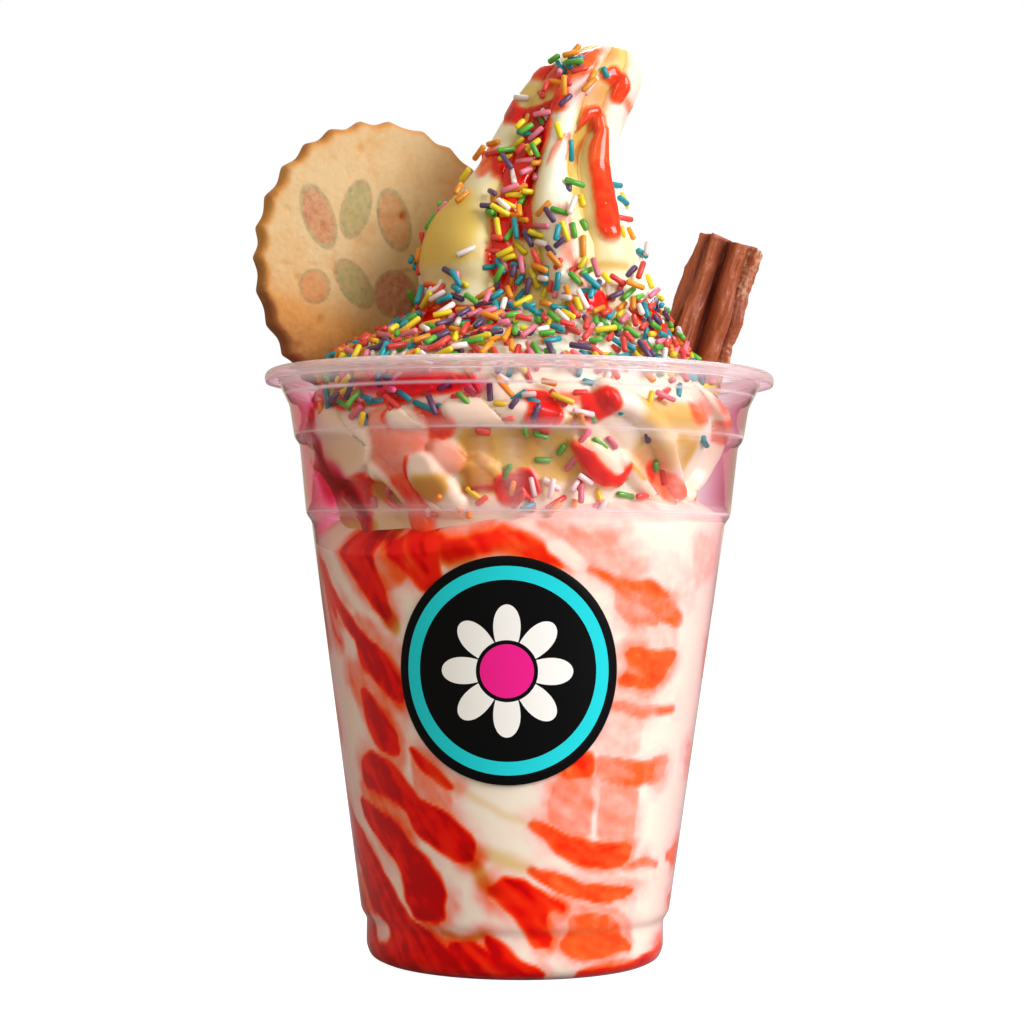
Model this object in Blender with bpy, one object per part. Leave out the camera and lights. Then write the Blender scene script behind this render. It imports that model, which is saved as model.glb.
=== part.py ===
"""An ice cream sundae in a clear plastic cup, at its real size.

The cup is filled with marbled soft serve that rises above the rim as a fluted
peak, dressed with thick sauce and sugar strands. A fluted biscuit stands at
the back left, a stick of folded chocolate leans to the right, and a round
label is stuck on the front of the cup.

Run it with: blender --background --python part.py
Lengths below are in millimetres, and put() turns them into metres.
+Z is up, the origin is the middle of the cup's base, and -Y is the front.
"""

import math
import random

import bmesh
import bpy
from mathutils import Matrix, Vector

MM = 0.001
GAP = 0.45  # clearance between a piece and what it touches
SHARP = math.radians(50.0)  # edges that turn more than this stay crisp

# The cup: a thin wall that follows one line from the middle of its base to
# the end of its rolled rim.
CUP_SIDES = 36
WALL = 0.6
RIM_RADIUS = 49.0
RIM_TOP = 112.7
ROLL_RADIUS = 1.35  # of the rolled rim's middle line
ROLL_TURNS = (-25, 15, 55, 95, 135, 175, 215)  # degrees over the top of the roll
NECK_RADIUS = 43.9
NECK_TOP = 106.0
UPPER_RING = (41.9, 99.2)  # radius under each ring step, and its height
LOWER_RING = (39.5, 84.6)
RING_STEP = (1.0, 1.2)  # how far a step goes out, and up
FOOT_RADIUS = 28.2
FOOT_TOP = 8.2
FOOT_STEP = (1.1, 1.7)
FOOT_ROUND = ((-2.6, 0.3), (-0.7, 1.2), (0.0, 3.0))  # from the foot's radius, and height
PUNT_RADIUS = 19.5  # the raised middle of the base
PUNT_SLOPE = 3.0
PUNT_HEIGHT = 1.5

# The round label, wrapped round the cup.
LABEL_RADIUS = 20.6
LABEL_MIDDLE = 56.8
LABEL_TURN = math.radians(-3.0)
LABEL_THICKNESS = 0.3
LABEL_SIDES = 42
LABEL_RINGS = 3

# The soft serve. It fills the cup to a ledge, is drawn in above the ledge,
# swells to a shoulder at the rim and ends in a peak. MASS holds its half width
# at each height, and LEAN how far its middle lies to the right.
SERVE_SIDES = 54
RING_PITCH = 3.0
MASS_BOTTOM = 71.0
MASS = (
    (84.0, 39.6),
    (87.3, 37.8),
    (89.6, 34.4),
    (94.0, 35.6),
    (99.0, 38.8),
    (104.0, 40.2),
    (109.0, 38.4),
    (114.0, 34.8),
    (117.6, 31.8),
    (122.5, 27.4),
    (125.5, 23.9),
    (136.4, 22.6),
    (141.0, 20.9),
    (146.0, 17.6),
    (152.0, 13.7),
    (158.0, 11.4),
)
LEAN = (
    (106.0, 0.0),
    (112.0, -1.0),
    (117.6, -1.4),
    (122.5, 0.6),
    (125.5, 2.2),
    (136.0, 2.7),
    (146.0, 3.8),
    (153.0, 5.4),
    (160.0, 7.8),
)
LEDGE_DROP = 9.0  # how much lower the ledge is at the left
LEDGE_LOW = math.radians(-62.0)  # the bearing where it is lowest
# The pulled-up tip leans right: x, z and half width along its middle line.
TIP = (
    (7.9, 160.0, 10.8),
    (10.0, 163.4, 10.1),
    (12.4, 166.6, 9.0),
    (14.9, 169.0, 7.7),
    (17.3, 170.3, 6.5),
    (19.6, 170.7, 5.1),
    (21.5, 170.9, 3.0),
)
TIP_END = (22.5, 171.0)
TIP_FLUTES = 0.8  # how deep its grooves are against the peak's

# Flutes: slanting ones on the mass inside the cup, upright ones on the peak.
SLANT_FLUTES = 15
SLANT_RISE = 12.5  # height between one flute and the next
SLANT_DEPTH = 3.0
SLANT_BAND = (86.0, 92.0, 109.0, 118.0)  # they grow and fade between these heights
# The peak's ridges: bearing and half width in degrees, at the shoulder.
RIDGES = ((-60, 34), (8, 15), (66, 27), (116, 23), (161, 22), (205, 22), (248, 20))
PEAK_DEPTH = 0.25  # of the floor between them, as a share of the half width
PEAK_TWIST = math.radians(-1.2)  # for each millimetre above the shoulder
SHOULDER = 136.0
PEAK_BAND = (117.0, 126.0)

# Thick runs of sauce: top and bottom height, bearing at each, and half width.
SAUCE_RUNS = (
    (158.0, 124.0, -42.0, -13.0, 2.3),
    (158.0, 139.5, 22.0, 41.0, 2.2),
    (150.0, 121.0, 128.0, 140.0, 1.9),
    (146.0, 119.0, 178.0, 184.0, 1.9),
    (122.0, 109.0, 62.0, 66.0, 2.4),
    (124.0, 110.0, -84.0, -88.0, 2.6),
    (112.0, 93.0, 4.0, 16.0, 2.0),
    (112.0, 90.0, -52.0, -43.0, 2.0),
    (112.0, 92.0, 118.0, 130.0, 2.0),
    (112.0, 92.0, 196.0, 208.0, 2.0),
)
RUN_STEP = 4.0
RUN_SIDES = 6
RUN_RISE = 0.55  # height of a run's crest as a share of its half width

# Sugar strands.
STRAND_LENGTH = 4.6
STRAND_RADIUS = 0.7
STRAND_SIDES = 5
STRAND_LIFT = 0.15  # how far its middle line stands off the surface
STRAND_COUNT = 80
STRAND_CLEAR = 4.4  # between the middles of two strands
STRAND_BAND = (84.0, 156.0)
SEED = 7

# The biscuit, a slightly oval disc with pointed teeth.
BISCUIT_RADIUS = 29.1
BISCUIT_OVAL = 0.03
BISCUIT_OVAL_TURN = math.radians(125.0)
BISCUIT_THICKNESS = 4.6
BISCUIT_TEETH = 28
TOOTH_DEPTH = 1.5
TOOTH_STEPS = 4
BISCUIT_MIDDLE = (-26.0, 8.0, 133.0)
BISCUIT_YAW = math.radians(31.0)
BISCUIT_LEAN = math.radians(-1.5)
BISCUIT_SECTION = ((2.2, -1.0), (0.2, -0.5), (0.2, 0.5), (2.2, 1.0))  # inset and level

# The stick of folded chocolate, and its folds: bearing, depth and half width.
STICK_FOOT = (26.8, 6.0, 94.5)
STICK_TOP = (41.3, 6.0, 138.8)
STICK_WIDTHS = (16.4, 12.3)  # at its foot and at its top
STICK_DEPTHS = (11.5, 10.0)
STICK_SIDES = 30
STICK_RINGS = 12
FOLDS = ((-62, 0.9, 9), (-8, 2.3, 11), (40, 1.0, 8), (118, 1.2, 12), (200, 1.5, 14))


def clear_scene():
    """Removes whatever the scene holds."""
    for obj in list(bpy.data.objects):
        bpy.data.objects.remove(obj, do_unlink=True)


def material(name, colour, roughness, metallic=0.0, alpha=1.0):
    """A plain finish."""
    made = bpy.data.materials.new(name)
    made.use_nodes = True
    shader = made.node_tree.nodes["Principled BSDF"]
    shader.inputs["Base Color"].default_value = (*colour, 1.0)
    shader.inputs["Roughness"].default_value = roughness
    shader.inputs["Metallic"].default_value = metallic
    shader.inputs["Alpha"].default_value = alpha
    return made


def put(name, mesh_data, finish=None, smooth=True):
    """Makes an object of a bmesh in millimetres."""
    bmesh.ops.recalc_face_normals(mesh_data, faces=mesh_data.faces)
    bmesh.ops.scale(mesh_data, vec=(MM, MM, MM), verts=mesh_data.verts)
    mesh = bpy.data.meshes.new(name)
    mesh_data.to_mesh(mesh)
    mesh_data.free()
    if smooth:
        mesh.shade_smooth()
        mesh.set_sharp_from_angle(angle=SHARP)
    obj = bpy.data.objects.new(name, mesh)
    bpy.context.scene.collection.objects.link(obj)
    if finish:
        mesh.materials.append(finish)
    return obj


def skin(rings, low_pole=None, high_pole=None):
    """A closed bmesh through rings of points, from the lowest to the highest.

    A pole closes its end with a fan, and an end with no pole gets one flat face.
    """
    made = bmesh.new()
    loops = [[made.verts.new(point) for point in ring] for ring in rings]
    for low, high in zip(loops, loops[1:]):
        for i, corner in enumerate(low):
            after = (i + 1) % len(low)
            made.faces.new((corner, low[after], high[after], high[i]))
    for loop, pole in ((loops[0], low_pole), (loops[-1], high_pole)):
        if pole is None:
            made.faces.new(loop)
            continue
        top = made.verts.new(pole)
        for i, corner in enumerate(loop):
            made.faces.new((corner, loop[(i + 1) % len(loop)], top))
    return made


def bearing_point(radius, bearing, height):
    """The point at a bearing that counts from the front towards the right."""
    return Vector((radius * math.sin(bearing), -radius * math.cos(bearing), height))


def between(stations, at):
    """Reads a value off a list of (position, value) stations, straight between them."""
    if at <= stations[0][0]:
        return stations[0][1]
    for (low, start), (high, end) in zip(stations, stations[1:]):
        if at <= high:
            share = (at - low) / (high - low)
            return start + (end - start) * share
    return stations[-1][1]


def fade(low, high, at):
    """0 below low, 1 above high, and smooth between them."""
    share = min(1.0, max(0.0, (at - low) / (high - low)))
    return share * share * (3.0 - 2.0 * share)


# ---------------------------------------------------------------- the cup


def cup_line():
    """The middle line of the cup's wall, from its axis to the rolled rim's end."""
    half = WALL / 2
    base = [(0.0, PUNT_HEIGHT), (PUNT_RADIUS, PUNT_HEIGHT), (PUNT_RADIUS + PUNT_SLOPE, half)]
    foot = [(FOOT_RADIUS + out, height) for out, height in FOOT_ROUND]
    foot.append((FOOT_RADIUS, FOOT_TOP))
    foot.append((FOOT_RADIUS + FOOT_STEP[0], FOOT_TOP + FOOT_STEP[1]))
    wall = []
    for radius, height in (LOWER_RING, UPPER_RING):
        wall.append((radius, height - RING_STEP[1] / 2))
        wall.append((radius + RING_STEP[0], height + RING_STEP[1] / 2))
    wall.append((NECK_RADIUS, NECK_TOP))
    middle = (RIM_RADIUS - half - ROLL_RADIUS, RIM_TOP - half - ROLL_RADIUS)
    roll = [
        (
            middle[0] - ROLL_RADIUS * math.cos(math.radians(angle)),
            middle[1] + ROLL_RADIUS * math.sin(math.radians(angle)),
        )
        for angle in ROLL_TURNS
    ]
    return base + foot + wall + roll


def offset_line(line, distance):
    """The line moved sideways, with mitred corners: into the cup for a distance above 0."""
    moved = []
    for i, point in enumerate(line):
        here = Vector(point)
        before = Vector(line[i - 1]) if i else here - (Vector(line[1]) - here)
        after = Vector(line[i + 1]) if i + 1 < len(line) else here + (here - before)
        near, far = (here - before).normalized(), (after - here).normalized()
        sideways = Vector((-near.y - far.y, near.x + far.x)).normalized()
        reach = distance / sideways.dot(Vector((-near.y, near.x)))
        moved.append((here.x + reach * sideways.x, here.y + reach * sideways.y))
    return moved


def wall_radius(height, distance=0.0):
    """Radius of the cup's wall at a height, or that far inside it."""
    line = offset_line(cup_line(), distance)
    upright = [(z, r) for r, z in line if z > FOOT_TOP and z <= NECK_TOP + 1.0]
    return between(upright, height)


def build_cup(finish):
    """The cup: its wall line spun round the axis and given its thickness."""
    outer = [Vector((r, 0.0, z)) for r, z in offset_line(cup_line(), -WALL / 2)]
    inner = [Vector((r, 0.0, z)) for r, z in offset_line(cup_line(), WALL / 2)]
    outline = outer + inner[::-1]
    made = bmesh.new()
    corners = [made.verts.new(point) for point in outline]
    edges = [made.edges.new(pair) for pair in zip(corners, corners[1:])]
    bmesh.ops.spin(
        made,
        geom=corners + edges,
        cent=(0.0, 0.0, 0.0),
        axis=(0.0, 0.0, 1.0),
        angle=2 * math.pi,
        steps=CUP_SIDES,
        use_merge=True,
    )
    bmesh.ops.remove_doubles(made, verts=made.verts, dist=0.001)
    return put("cup", made, finish)


def build_label(finish):
    """The round label, bent round the cup's taper."""

    def point(reach, bearing, distance):
        across = reach * math.sin(bearing)
        height = LABEL_MIDDLE + reach * math.cos(bearing)
        radius = wall_radius(height, -distance)
        return bearing_point(radius, LABEL_TURN + across / radius, height)

    near = WALL / 2 + GAP
    far = near + LABEL_THICKNESS
    turns = [2 * math.pi * i / LABEL_SIDES for i in range(LABEL_SIDES)]
    reaches = [LABEL_RADIUS * (i + 1) / LABEL_RINGS for i in range(LABEL_RINGS)]
    back = [[point(reach, turn, near) for turn in turns] for reach in reaches]
    front = [[point(reach, turn, far) for turn in turns] for reach in reaches[::-1]]
    made = skin(back + front, point(0.0, 0.0, near), point(0.0, 0.0, far))
    return put("label", made, finish)


# ------------------------------------------------------- the soft serve


def slant_flute(bearing, height):
    """How deep the surface lies below the flutes' crests on the mass in the cup."""
    phase = SLANT_FLUTES * bearing + 2 * math.pi * height / SLANT_RISE
    crest = abs(math.sin(phase / 2)) ** 0.7
    return SLANT_DEPTH * (1.0 - crest)


def peak_flute(bearing, height):
    """The share of its half width that the peak loses between its ridges."""
    turned = math.degrees(bearing - PEAK_TWIST * max(0.0, height - SHOULDER))
    crest = 0.0
    for middle, half in RIDGES:
        off = (turned - middle + 180.0) % 360.0 - 180.0
        crest = max(crest, 1.0 - (off / half) ** 2)
    return PEAK_DEPTH * (1.0 - math.sqrt(crest)) * fade(*PEAK_BAND, height)


def serve_radius(bearing, height):
    """Half width of the soft serve above its filled part, at a bearing."""
    drop = LEDGE_DROP * (0.5 + 0.5 * math.cos(bearing - LEDGE_LOW)) ** 1.5
    level = height + drop * (1.0 - fade(92.0, 104.0, height))
    band = fade(*SLANT_BAND[:2], level) * (1.0 - fade(*SLANT_BAND[2:], level))
    radius = between(MASS, level) - band * slant_flute(bearing, height)
    radius *= 1.0 - peak_flute(bearing, height)
    if height < NECK_TOP:
        radius = min(radius, wall_radius(height, WALL / 2 + GAP))
    return radius


def serve_point(bearing, height):
    """A point of the soft serve's surface below the tip."""
    place = bearing_point(serve_radius(bearing, height), bearing, height)
    return place + Vector((between(LEAN, height), 0.0, 0.0))


def tip_rings(bearings):
    """Rings across the leaning tip, each square to the tip's own line."""
    rings = []
    line = [(between(LEAN, MASS[-1][0]), MASS[-1][0])] + [(x, z) for x, z, _ in TIP] + [TIP_END]
    depthways = Vector((0.0, 1.0, 0.0))
    travel = MASS[-1][0]
    for i, (x, z, width) in enumerate(TIP):
        before, after = Vector(line[i]), Vector(line[i + 2])
        along = (after - before).normalized()
        across = Vector((along.y, 0.0, -along.x))
        travel += (Vector((x, z)) - before).length
        ring = []
        for bearing in bearings:
            half = width * (1.0 - TIP_FLUTES * peak_flute(bearing, travel))
            out = math.sin(bearing) * across - math.cos(bearing) * depthways
            ring.append(Vector((x, 0.0, z)) + half * out)
        rings.append(ring)
    return rings


def build_serve_core():
    """The bare soft serve: the filled cup, the fluted mass and the peak as one skin."""
    bearings = [2 * math.pi * i / SERVE_SIDES for i in range(SERVE_SIDES)]
    rings = []
    for radius, height in offset_line(cup_line(), WALL / 2 + GAP):
        if 0.0 < radius and height < MASS_BOTTOM:
            rings.append([bearing_point(radius, bearing, height) for bearing in bearings])
    count = int((MASS[-1][0] - MASS_BOTTOM) / RING_PITCH)
    for i in range(count + 1):
        height = MASS_BOTTOM + RING_PITCH * i
        rings.append([serve_point(bearing, height) for bearing in bearings])
    rings += tip_rings(bearings)
    floor = Vector((0.0, 0.0, PUNT_HEIGHT + WALL / 2 + GAP))
    return skin(rings, floor, Vector((TIP_END[0], 0.0, TIP_END[1])))


def within_cup(place):
    """The place itself, or moved in where it would touch the cup's wall."""
    if place.z > RIM_TOP:
        return place
    room = wall_radius(place.z, WALL / 2 + GAP) - 0.1
    reach = Vector(place[:2]).length
    share = min(1.0, room / reach)
    return Vector((place.x * share, place.y * share, place.z))


def surface_frame(bearing, height):
    """A point of the surface with its outward, sideways and upward directions."""
    step = 0.8
    here = serve_point(bearing, height)
    side = serve_point(bearing + step / 30.0, height) - serve_point(bearing - step / 30.0, height)
    up = serve_point(bearing, height + step) - serve_point(bearing, height - step)
    side.normalize()
    up.normalize()
    return here, side.cross(up).normalized(), side, up


def build_strand(place, along, outward):
    """One sugar strand as a short rod with flat ends."""
    side = along.cross(outward).normalized()
    rings = []
    for end in (-0.5, 0.5):
        middle = place + along * STRAND_LENGTH * end
        rings.append(
            [
                middle
                + STRAND_RADIUS * math.cos(turn) * side
                + STRAND_RADIUS * math.sin(turn) * outward
                for turn in (2 * math.pi * i / STRAND_SIDES for i in range(STRAND_SIDES))
            ]
        )
    return put("strand", skin(rings), smooth=False)


def strand_share(bearing, height):
    """How thickly the strands lie: on the shoulder, in the front groove, on the ledge."""
    shoulder = fade(104.0, 112.0, height) * (1.0 - fade(122.0, 127.0, height))
    turned = math.degrees(bearing - PEAK_TWIST * max(0.0, height - SHOULDER))
    groove = math.exp(-(((turned + 12.0) / 22.0) ** 2)) * fade(119.0, 124.0, height)
    ledge = (1.0 - fade(90.0, 94.0, height)) * math.exp(-(((turned - 15.0) / 40.0) ** 2))
    return 0.12 + 0.9 * shoulder + 0.75 * groove + 0.5 * ledge


def clear_of_toppings(place):
    """True where a strand would touch neither the biscuit nor the chocolate."""
    facing = biscuit_turn() @ Vector((0.0, 0.0, 1.0))
    off = place - Vector(BISCUIT_MIDDLE)
    if abs(off.dot(facing)) < BISCUIT_THICKNESS / 2 + 3.2 and off.length < BISCUIT_RADIUS + 3.2:
        return False
    foot = Vector(STICK_FOOT)
    along = (Vector(STICK_TOP) - foot).normalized()
    beside = (place - foot) - along * (place - foot).dot(along)
    return beside.length > STICK_WIDTHS[0] / 2 + 3.2


def clear_of_cup(place):
    """True where a strand on the soft serve would stay off the cup's wall."""
    if place.z > RIM_TOP:
        return True
    return Vector(place[:2]).length < wall_radius(place.z, WALL / 2 + GAP) - 1.6


def scatter_strands():
    """Strands over the soft serve, none nearer to another than STRAND_CLEAR."""
    draw = random.Random(SEED)
    places = []
    strands = []
    while len(strands) < STRAND_COUNT:
        bearing = draw.uniform(-math.pi, math.pi)
        height = draw.uniform(*STRAND_BAND)
        lot = draw.random()
        turn = draw.uniform(0.0, math.pi)
        if lot > strand_share(bearing, height):
            continue
        here, outward, side, up = surface_frame(bearing, height)
        crowded = any((here - other).length < STRAND_CLEAR for other in places)
        if crowded or not (clear_of_cup(here) and clear_of_toppings(here)):
            continue
        places.append(here)
        along = math.cos(turn) * side + math.sin(turn) * up
        strands.append(build_strand(here + STRAND_LIFT * outward, along, outward))
    return strands


def build_sauce_run(top, bottom, top_bearing, bottom_bearing, width):
    """A run of sauce down the surface, thin at its top and ending in a drop."""
    count = max(4, round((top - bottom) / RUN_STEP))
    rings = []
    for i in range(count + 1):
        share = i / count
        height = top + (bottom - top) * share
        bearing = math.radians(top_bearing + (bottom_bearing - top_bearing) * share)
        here, outward, side, up = surface_frame(bearing, height)
        half = width * (0.6 + 0.4 * share) * math.sqrt(max(0.08, 1.0 - share**8))
        rings.append(
            [
                within_cup(here + half * (math.cos(a) * side + RUN_RISE * math.sin(a) * outward))
                for a in (2 * math.pi * k / RUN_SIDES for k in range(RUN_SIDES))
            ]
        )
    return put("run", skin(rings), smooth=False)


def join(target, others, name):
    """Joins solids to the target by one union, and removes them."""
    group = bpy.data.collections.new(name)
    for other in others:
        group.objects.link(other)
    union = target.modifiers.new(name, "BOOLEAN")
    union.operation = "UNION"
    union.operand_type = "COLLECTION"
    union.collection = group
    union.solver = "MANIFOLD"
    apply_modifiers(target)
    for other in others:
        bpy.data.objects.remove(other, do_unlink=True)
    bpy.data.collections.remove(group)


def cut(target, cutter):
    """Takes the cutter's shape out of the target, and removes the cutter."""
    difference = target.modifiers.new("cut", "BOOLEAN")
    difference.operation = "DIFFERENCE"
    difference.object = cutter
    difference.solver = "MANIFOLD"
    apply_modifiers(target)
    bpy.data.objects.remove(cutter, do_unlink=True)


def apply_modifiers(obj):
    """Replaces an object's mesh by what its modifiers make of it."""
    graph = bpy.context.evaluated_depsgraph_get()
    made = bpy.data.meshes.new_from_object(obj.evaluated_get(graph))
    obj.modifiers.clear()
    obj.data = made


def keep_largest(obj):
    """Drops the loose scraps, slivers and sealed hollows that a union can leave."""
    made = bmesh.new()
    made.from_mesh(obj.data)
    bmesh.ops.triangulate(made, faces=made.faces)
    unseen = set(made.faces)
    shells = []
    while unseen:
        shell = []
        front = [unseen.pop()]
        while front:
            face = front.pop()
            shell.append(face)
            for edge in face.edges:
                for other in edge.link_faces:
                    if len(edge.link_faces) == 2 and other in unseen:
                        unseen.remove(other)
                        front.append(other)
        shells.append(shell)
    shells.sort(key=len)
    scraps = [face for shell in shells[:-1] for face in shell]
    bmesh.ops.delete(made, geom=scraps, context="FACES")
    made.to_mesh(obj.data)
    made.free()
    obj.data.shade_smooth()
    obj.data.set_sharp_from_angle(angle=SHARP)


def build_soft_serve(finish):
    """The soft serve with its sauce and strands fused on, and room for the toppings."""
    serve = put("soft_serve", build_serve_core(), finish)
    runs = [build_sauce_run(*run) for run in SAUCE_RUNS]
    join(serve, runs + scatter_strands(), "dressing")
    cut(serve, biscuit_room())
    cut(serve, chocolate_room())
    keep_largest(serve)
    return serve


# ---------------------------------------------------------- the toppings


def biscuit_turn():
    """The turn that stands a flat biscuit up, facing front and right."""
    yaw = Matrix.Rotation(BISCUIT_YAW, 3, "Z")
    stand = Matrix.Rotation(math.pi / 2 - BISCUIT_LEAN, 3, "X")
    return yaw @ stand


def biscuit_reach(turn):
    """The biscuit's radius at a turn: an oval, less the hollows between its teeth."""
    oval = BISCUIT_RADIUS * (1.0 + BISCUIT_OVAL * math.cos(2 * (turn - BISCUIT_OVAL_TURN)))
    return oval - TOOTH_DEPTH * abs(math.sin(BISCUIT_TEETH * turn / 2)) ** 0.8


def build_biscuit(finish):
    """The fluted biscuit, with rounded edges."""
    steps = BISCUIT_TEETH * TOOTH_STEPS
    turns = [2 * math.pi * i / steps for i in range(steps)]
    turn_up = biscuit_turn()
    rings = [
        [
            turn_up
            @ Vector(
                (
                    (biscuit_reach(a) - inset) * math.cos(a),
                    (biscuit_reach(a) - inset) * math.sin(a),
                    level * BISCUIT_THICKNESS / 2,
                )
            )
            + Vector(BISCUIT_MIDDLE)
            for a in turns
        ]
        for inset, level in BISCUIT_SECTION
    ]
    return put("biscuit", skin(rings), finish)


def biscuit_room():
    """The slot that the biscuit stands in, a little larger than the biscuit."""
    half = BISCUIT_THICKNESS / 2 + GAP
    reach = BISCUIT_RADIUS * (1.0 + BISCUIT_OVAL) + GAP
    turn_up = biscuit_turn()
    rings = [
        [
            turn_up @ Vector((reach * math.cos(a), reach * math.sin(a), level))
            + Vector(BISCUIT_MIDDLE)
            for a in (2 * math.pi * i / 40 for i in range(40))
        ]
        for level in (-half, half)
    ]
    return put("biscuit_room", skin(rings), smooth=False)


def stick_rings(sides, count, margin, folded):
    """Rings along the chocolate stick, grooved by its folds where folded is true."""
    foot = Vector(STICK_FOOT)
    top = Vector(STICK_TOP)
    along = (top - foot).normalized()
    depthways = Vector((0.0, 1.0, 0.0))
    across = depthways.cross(along).normalized()
    rings = []
    for k in range(count + 1):
        share = k / count
        width = STICK_WIDTHS[0] + (STICK_WIDTHS[1] - STICK_WIDTHS[0]) * share
        depth = STICK_DEPTHS[0] + (STICK_DEPTHS[1] - STICK_DEPTHS[0]) * share
        ends = 1.0 - 0.09 * abs(2 * share - 1.0) ** 12 if folded else 1.0
        ring = []
        for i in range(sides):
            bearing = 2 * math.pi * i / sides
            corner = abs(math.sin(2 * bearing)) ** 1.5
            reach = 0.97 + 0.1 * corner
            if folded:
                for middle, fold_depth, spread in FOLDS:
                    wander = middle + 7.0 * math.sin(4.0 * share + middle)
                    off = (math.degrees(bearing) - wander + 180.0) % 360.0 - 180.0
                    reach -= 2.0 * fold_depth / width * math.exp(-((off / spread) ** 2))
            ring.append(
                foot.lerp(top, share)
                + across * math.sin(bearing) * (width / 2 * reach * ends + margin)
                - depthways * math.cos(bearing) * (depth / 2 * reach * ends + margin)
            )
        rings.append(ring)
    return rings


def build_chocolate(finish):
    """The stick of folded chocolate."""
    rings = stick_rings(STICK_SIDES, STICK_RINGS, 0.0, True)
    return put("chocolate", skin(rings), finish)


def chocolate_room():
    """The hole that the chocolate stands in."""
    rings = stick_rings(20, 1, GAP + 0.3, False)
    along = (Vector(STICK_TOP) - Vector(STICK_FOOT)).normalized()
    rings[0] = [point - along * GAP for point in rings[0]]
    return put("chocolate_room", skin(rings), smooth=False)


def main():
    """Builds the sundae."""
    clear_scene()
    build_cup(material("clear plastic", (0.96, 0.93, 0.95), 0.06, alpha=0.3))
    build_soft_serve(material("vanilla and strawberry", (0.93, 0.72, 0.58), 0.35))
    build_biscuit(material("baked biscuit", (0.78, 0.53, 0.28), 0.8))
    build_chocolate(material("milk chocolate", (0.26, 0.09, 0.04), 0.6))
    build_label(material("printed label", (0.01, 0.01, 0.01), 0.4))


main()
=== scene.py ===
"""The looks of an ice cream sundae in a clear plastic cup.

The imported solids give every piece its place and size. Here the cup is turned
again with its fine roundings, the soft serve gets its folds, its marbling of
strawberry sauce and its sugar strands, and the biscuit, the chocolate and the
label get their relief and finish.

Lengths are in millimetres until place() puts them into a mesh in metres. A
bearing counts from the front (-Y) towards the right (+X), in degrees.
"""

import logging
import math
from collections.abc import Callable, Sequence
from dataclasses import dataclass, field, replace
from enum import Enum
from functools import partial

import bpy
import numpy as np
from mathutils import Matrix, Vector


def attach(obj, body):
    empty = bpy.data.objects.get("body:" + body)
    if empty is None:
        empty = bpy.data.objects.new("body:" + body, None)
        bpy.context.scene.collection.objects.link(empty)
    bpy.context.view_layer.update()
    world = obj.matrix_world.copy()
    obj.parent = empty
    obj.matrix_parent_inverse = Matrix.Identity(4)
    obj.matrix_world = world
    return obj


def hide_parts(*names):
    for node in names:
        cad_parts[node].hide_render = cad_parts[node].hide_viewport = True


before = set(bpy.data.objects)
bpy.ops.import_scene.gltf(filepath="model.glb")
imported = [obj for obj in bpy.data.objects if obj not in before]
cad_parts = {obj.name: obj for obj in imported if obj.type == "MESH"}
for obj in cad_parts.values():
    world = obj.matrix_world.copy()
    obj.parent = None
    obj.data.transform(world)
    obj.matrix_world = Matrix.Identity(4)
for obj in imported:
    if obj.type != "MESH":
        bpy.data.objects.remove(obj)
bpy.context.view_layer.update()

log = logging.getLogger("sundae")

BODY = "root"
MM = 0.001
SEED = 11

Array = np.ndarray
Point = tuple[float, float]
Place = tuple[float, float, float]
Band = tuple[float, float, float, float]
Stops = tuple[tuple[float, str], ...]  # a colour ramp's positions and hex colours
Socket = bpy.types.NodeSocket
AddNode = Callable[..., Socket]  # add_node() for one node tree


# ------------------------------------------------------------------ helpers


def linear(code: str) -> tuple[float, float, float, float]:
    """Turns an sRGB hex colour into linear RGBA.

    Args:
        code: Six hex digits.

    Returns:
        Red, green, blue and alpha.
    """
    parts = (int(code[i : i + 2], 16) / 255.0 for i in (0, 2, 4))
    red, green, blue = (p / 12.92 if p <= 0.04045 else ((p + 0.055) / 1.055) ** 2.4 for p in parts)
    return red, green, blue, 1.0


def add_node(
    tree: bpy.types.NodeTree,
    kind: str,
    *inputs: object,
    out: int | str = 0,
    stops: Stops = (),
    **settings: object,
) -> Socket | None:
    """Adds a shader node with its settings, and sets or links its inputs.

    Args:
        tree: The node tree.
        kind: The node's type, without the ShaderNode that it starts with.
        inputs: A value, or the socket to link from, for each input in order, or one dict by name.
        out: Which of its outputs to return.
        stops: A colour ramp's positions and hex colours.
        settings: The node's properties.

    Returns:
        The output, or None for a node that has none.
    """
    made = tree.nodes.new("ShaderNode" + kind)
    for name, value in settings.items():
        setattr(made, name, value)
    for i, (position, code) in enumerate(stops):
        elements = made.color_ramp.elements
        element = elements[i] if i < 2 else elements.new(position)
        element.position = position
        element.color = linear(code)
    named = inputs[0] if inputs and isinstance(inputs[0], dict) else dict(enumerate(inputs))
    for key, value in named.items():
        if isinstance(value, Socket):
            tree.links.new(value, made.inputs[key])
        else:
            made.inputs[key].default_value = value
    return made.outputs[out] if made.outputs else None


def fade(low: float | Array, high: float | Array, at: Array) -> Array:
    """0 below low, 1 above high, and smooth between them."""
    share = np.clip((at - low) / (high - low), 0.0, 1.0)
    return share * share * (3.0 - 2.0 * share)


def within(band: Band, at: Array) -> Array:
    """1 inside a band, 0 outside it, and smooth over its first two and its last two values."""
    return fade(*band[:2], at) * (1.0 - fade(*band[2:], at))


def eased(stations: Array, at: Array, rounding: float) -> Array:
    """Reads values off stations, straight between them and rounded at the corners.

    Args:
        stations: Positions with their values, one row each, in rising order.
        at: The positions to read.
        rounding: How far each side of a corner its rounding reaches.

    Returns:
        The values.
    """
    places, values = stations.T
    offsets = np.array((-1.0, -0.6, -0.2, 0.2, 0.6, 1.0)) * rounding
    return sum(np.interp(at + offset, places, values) for offset in offsets) / len(offsets)


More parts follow.
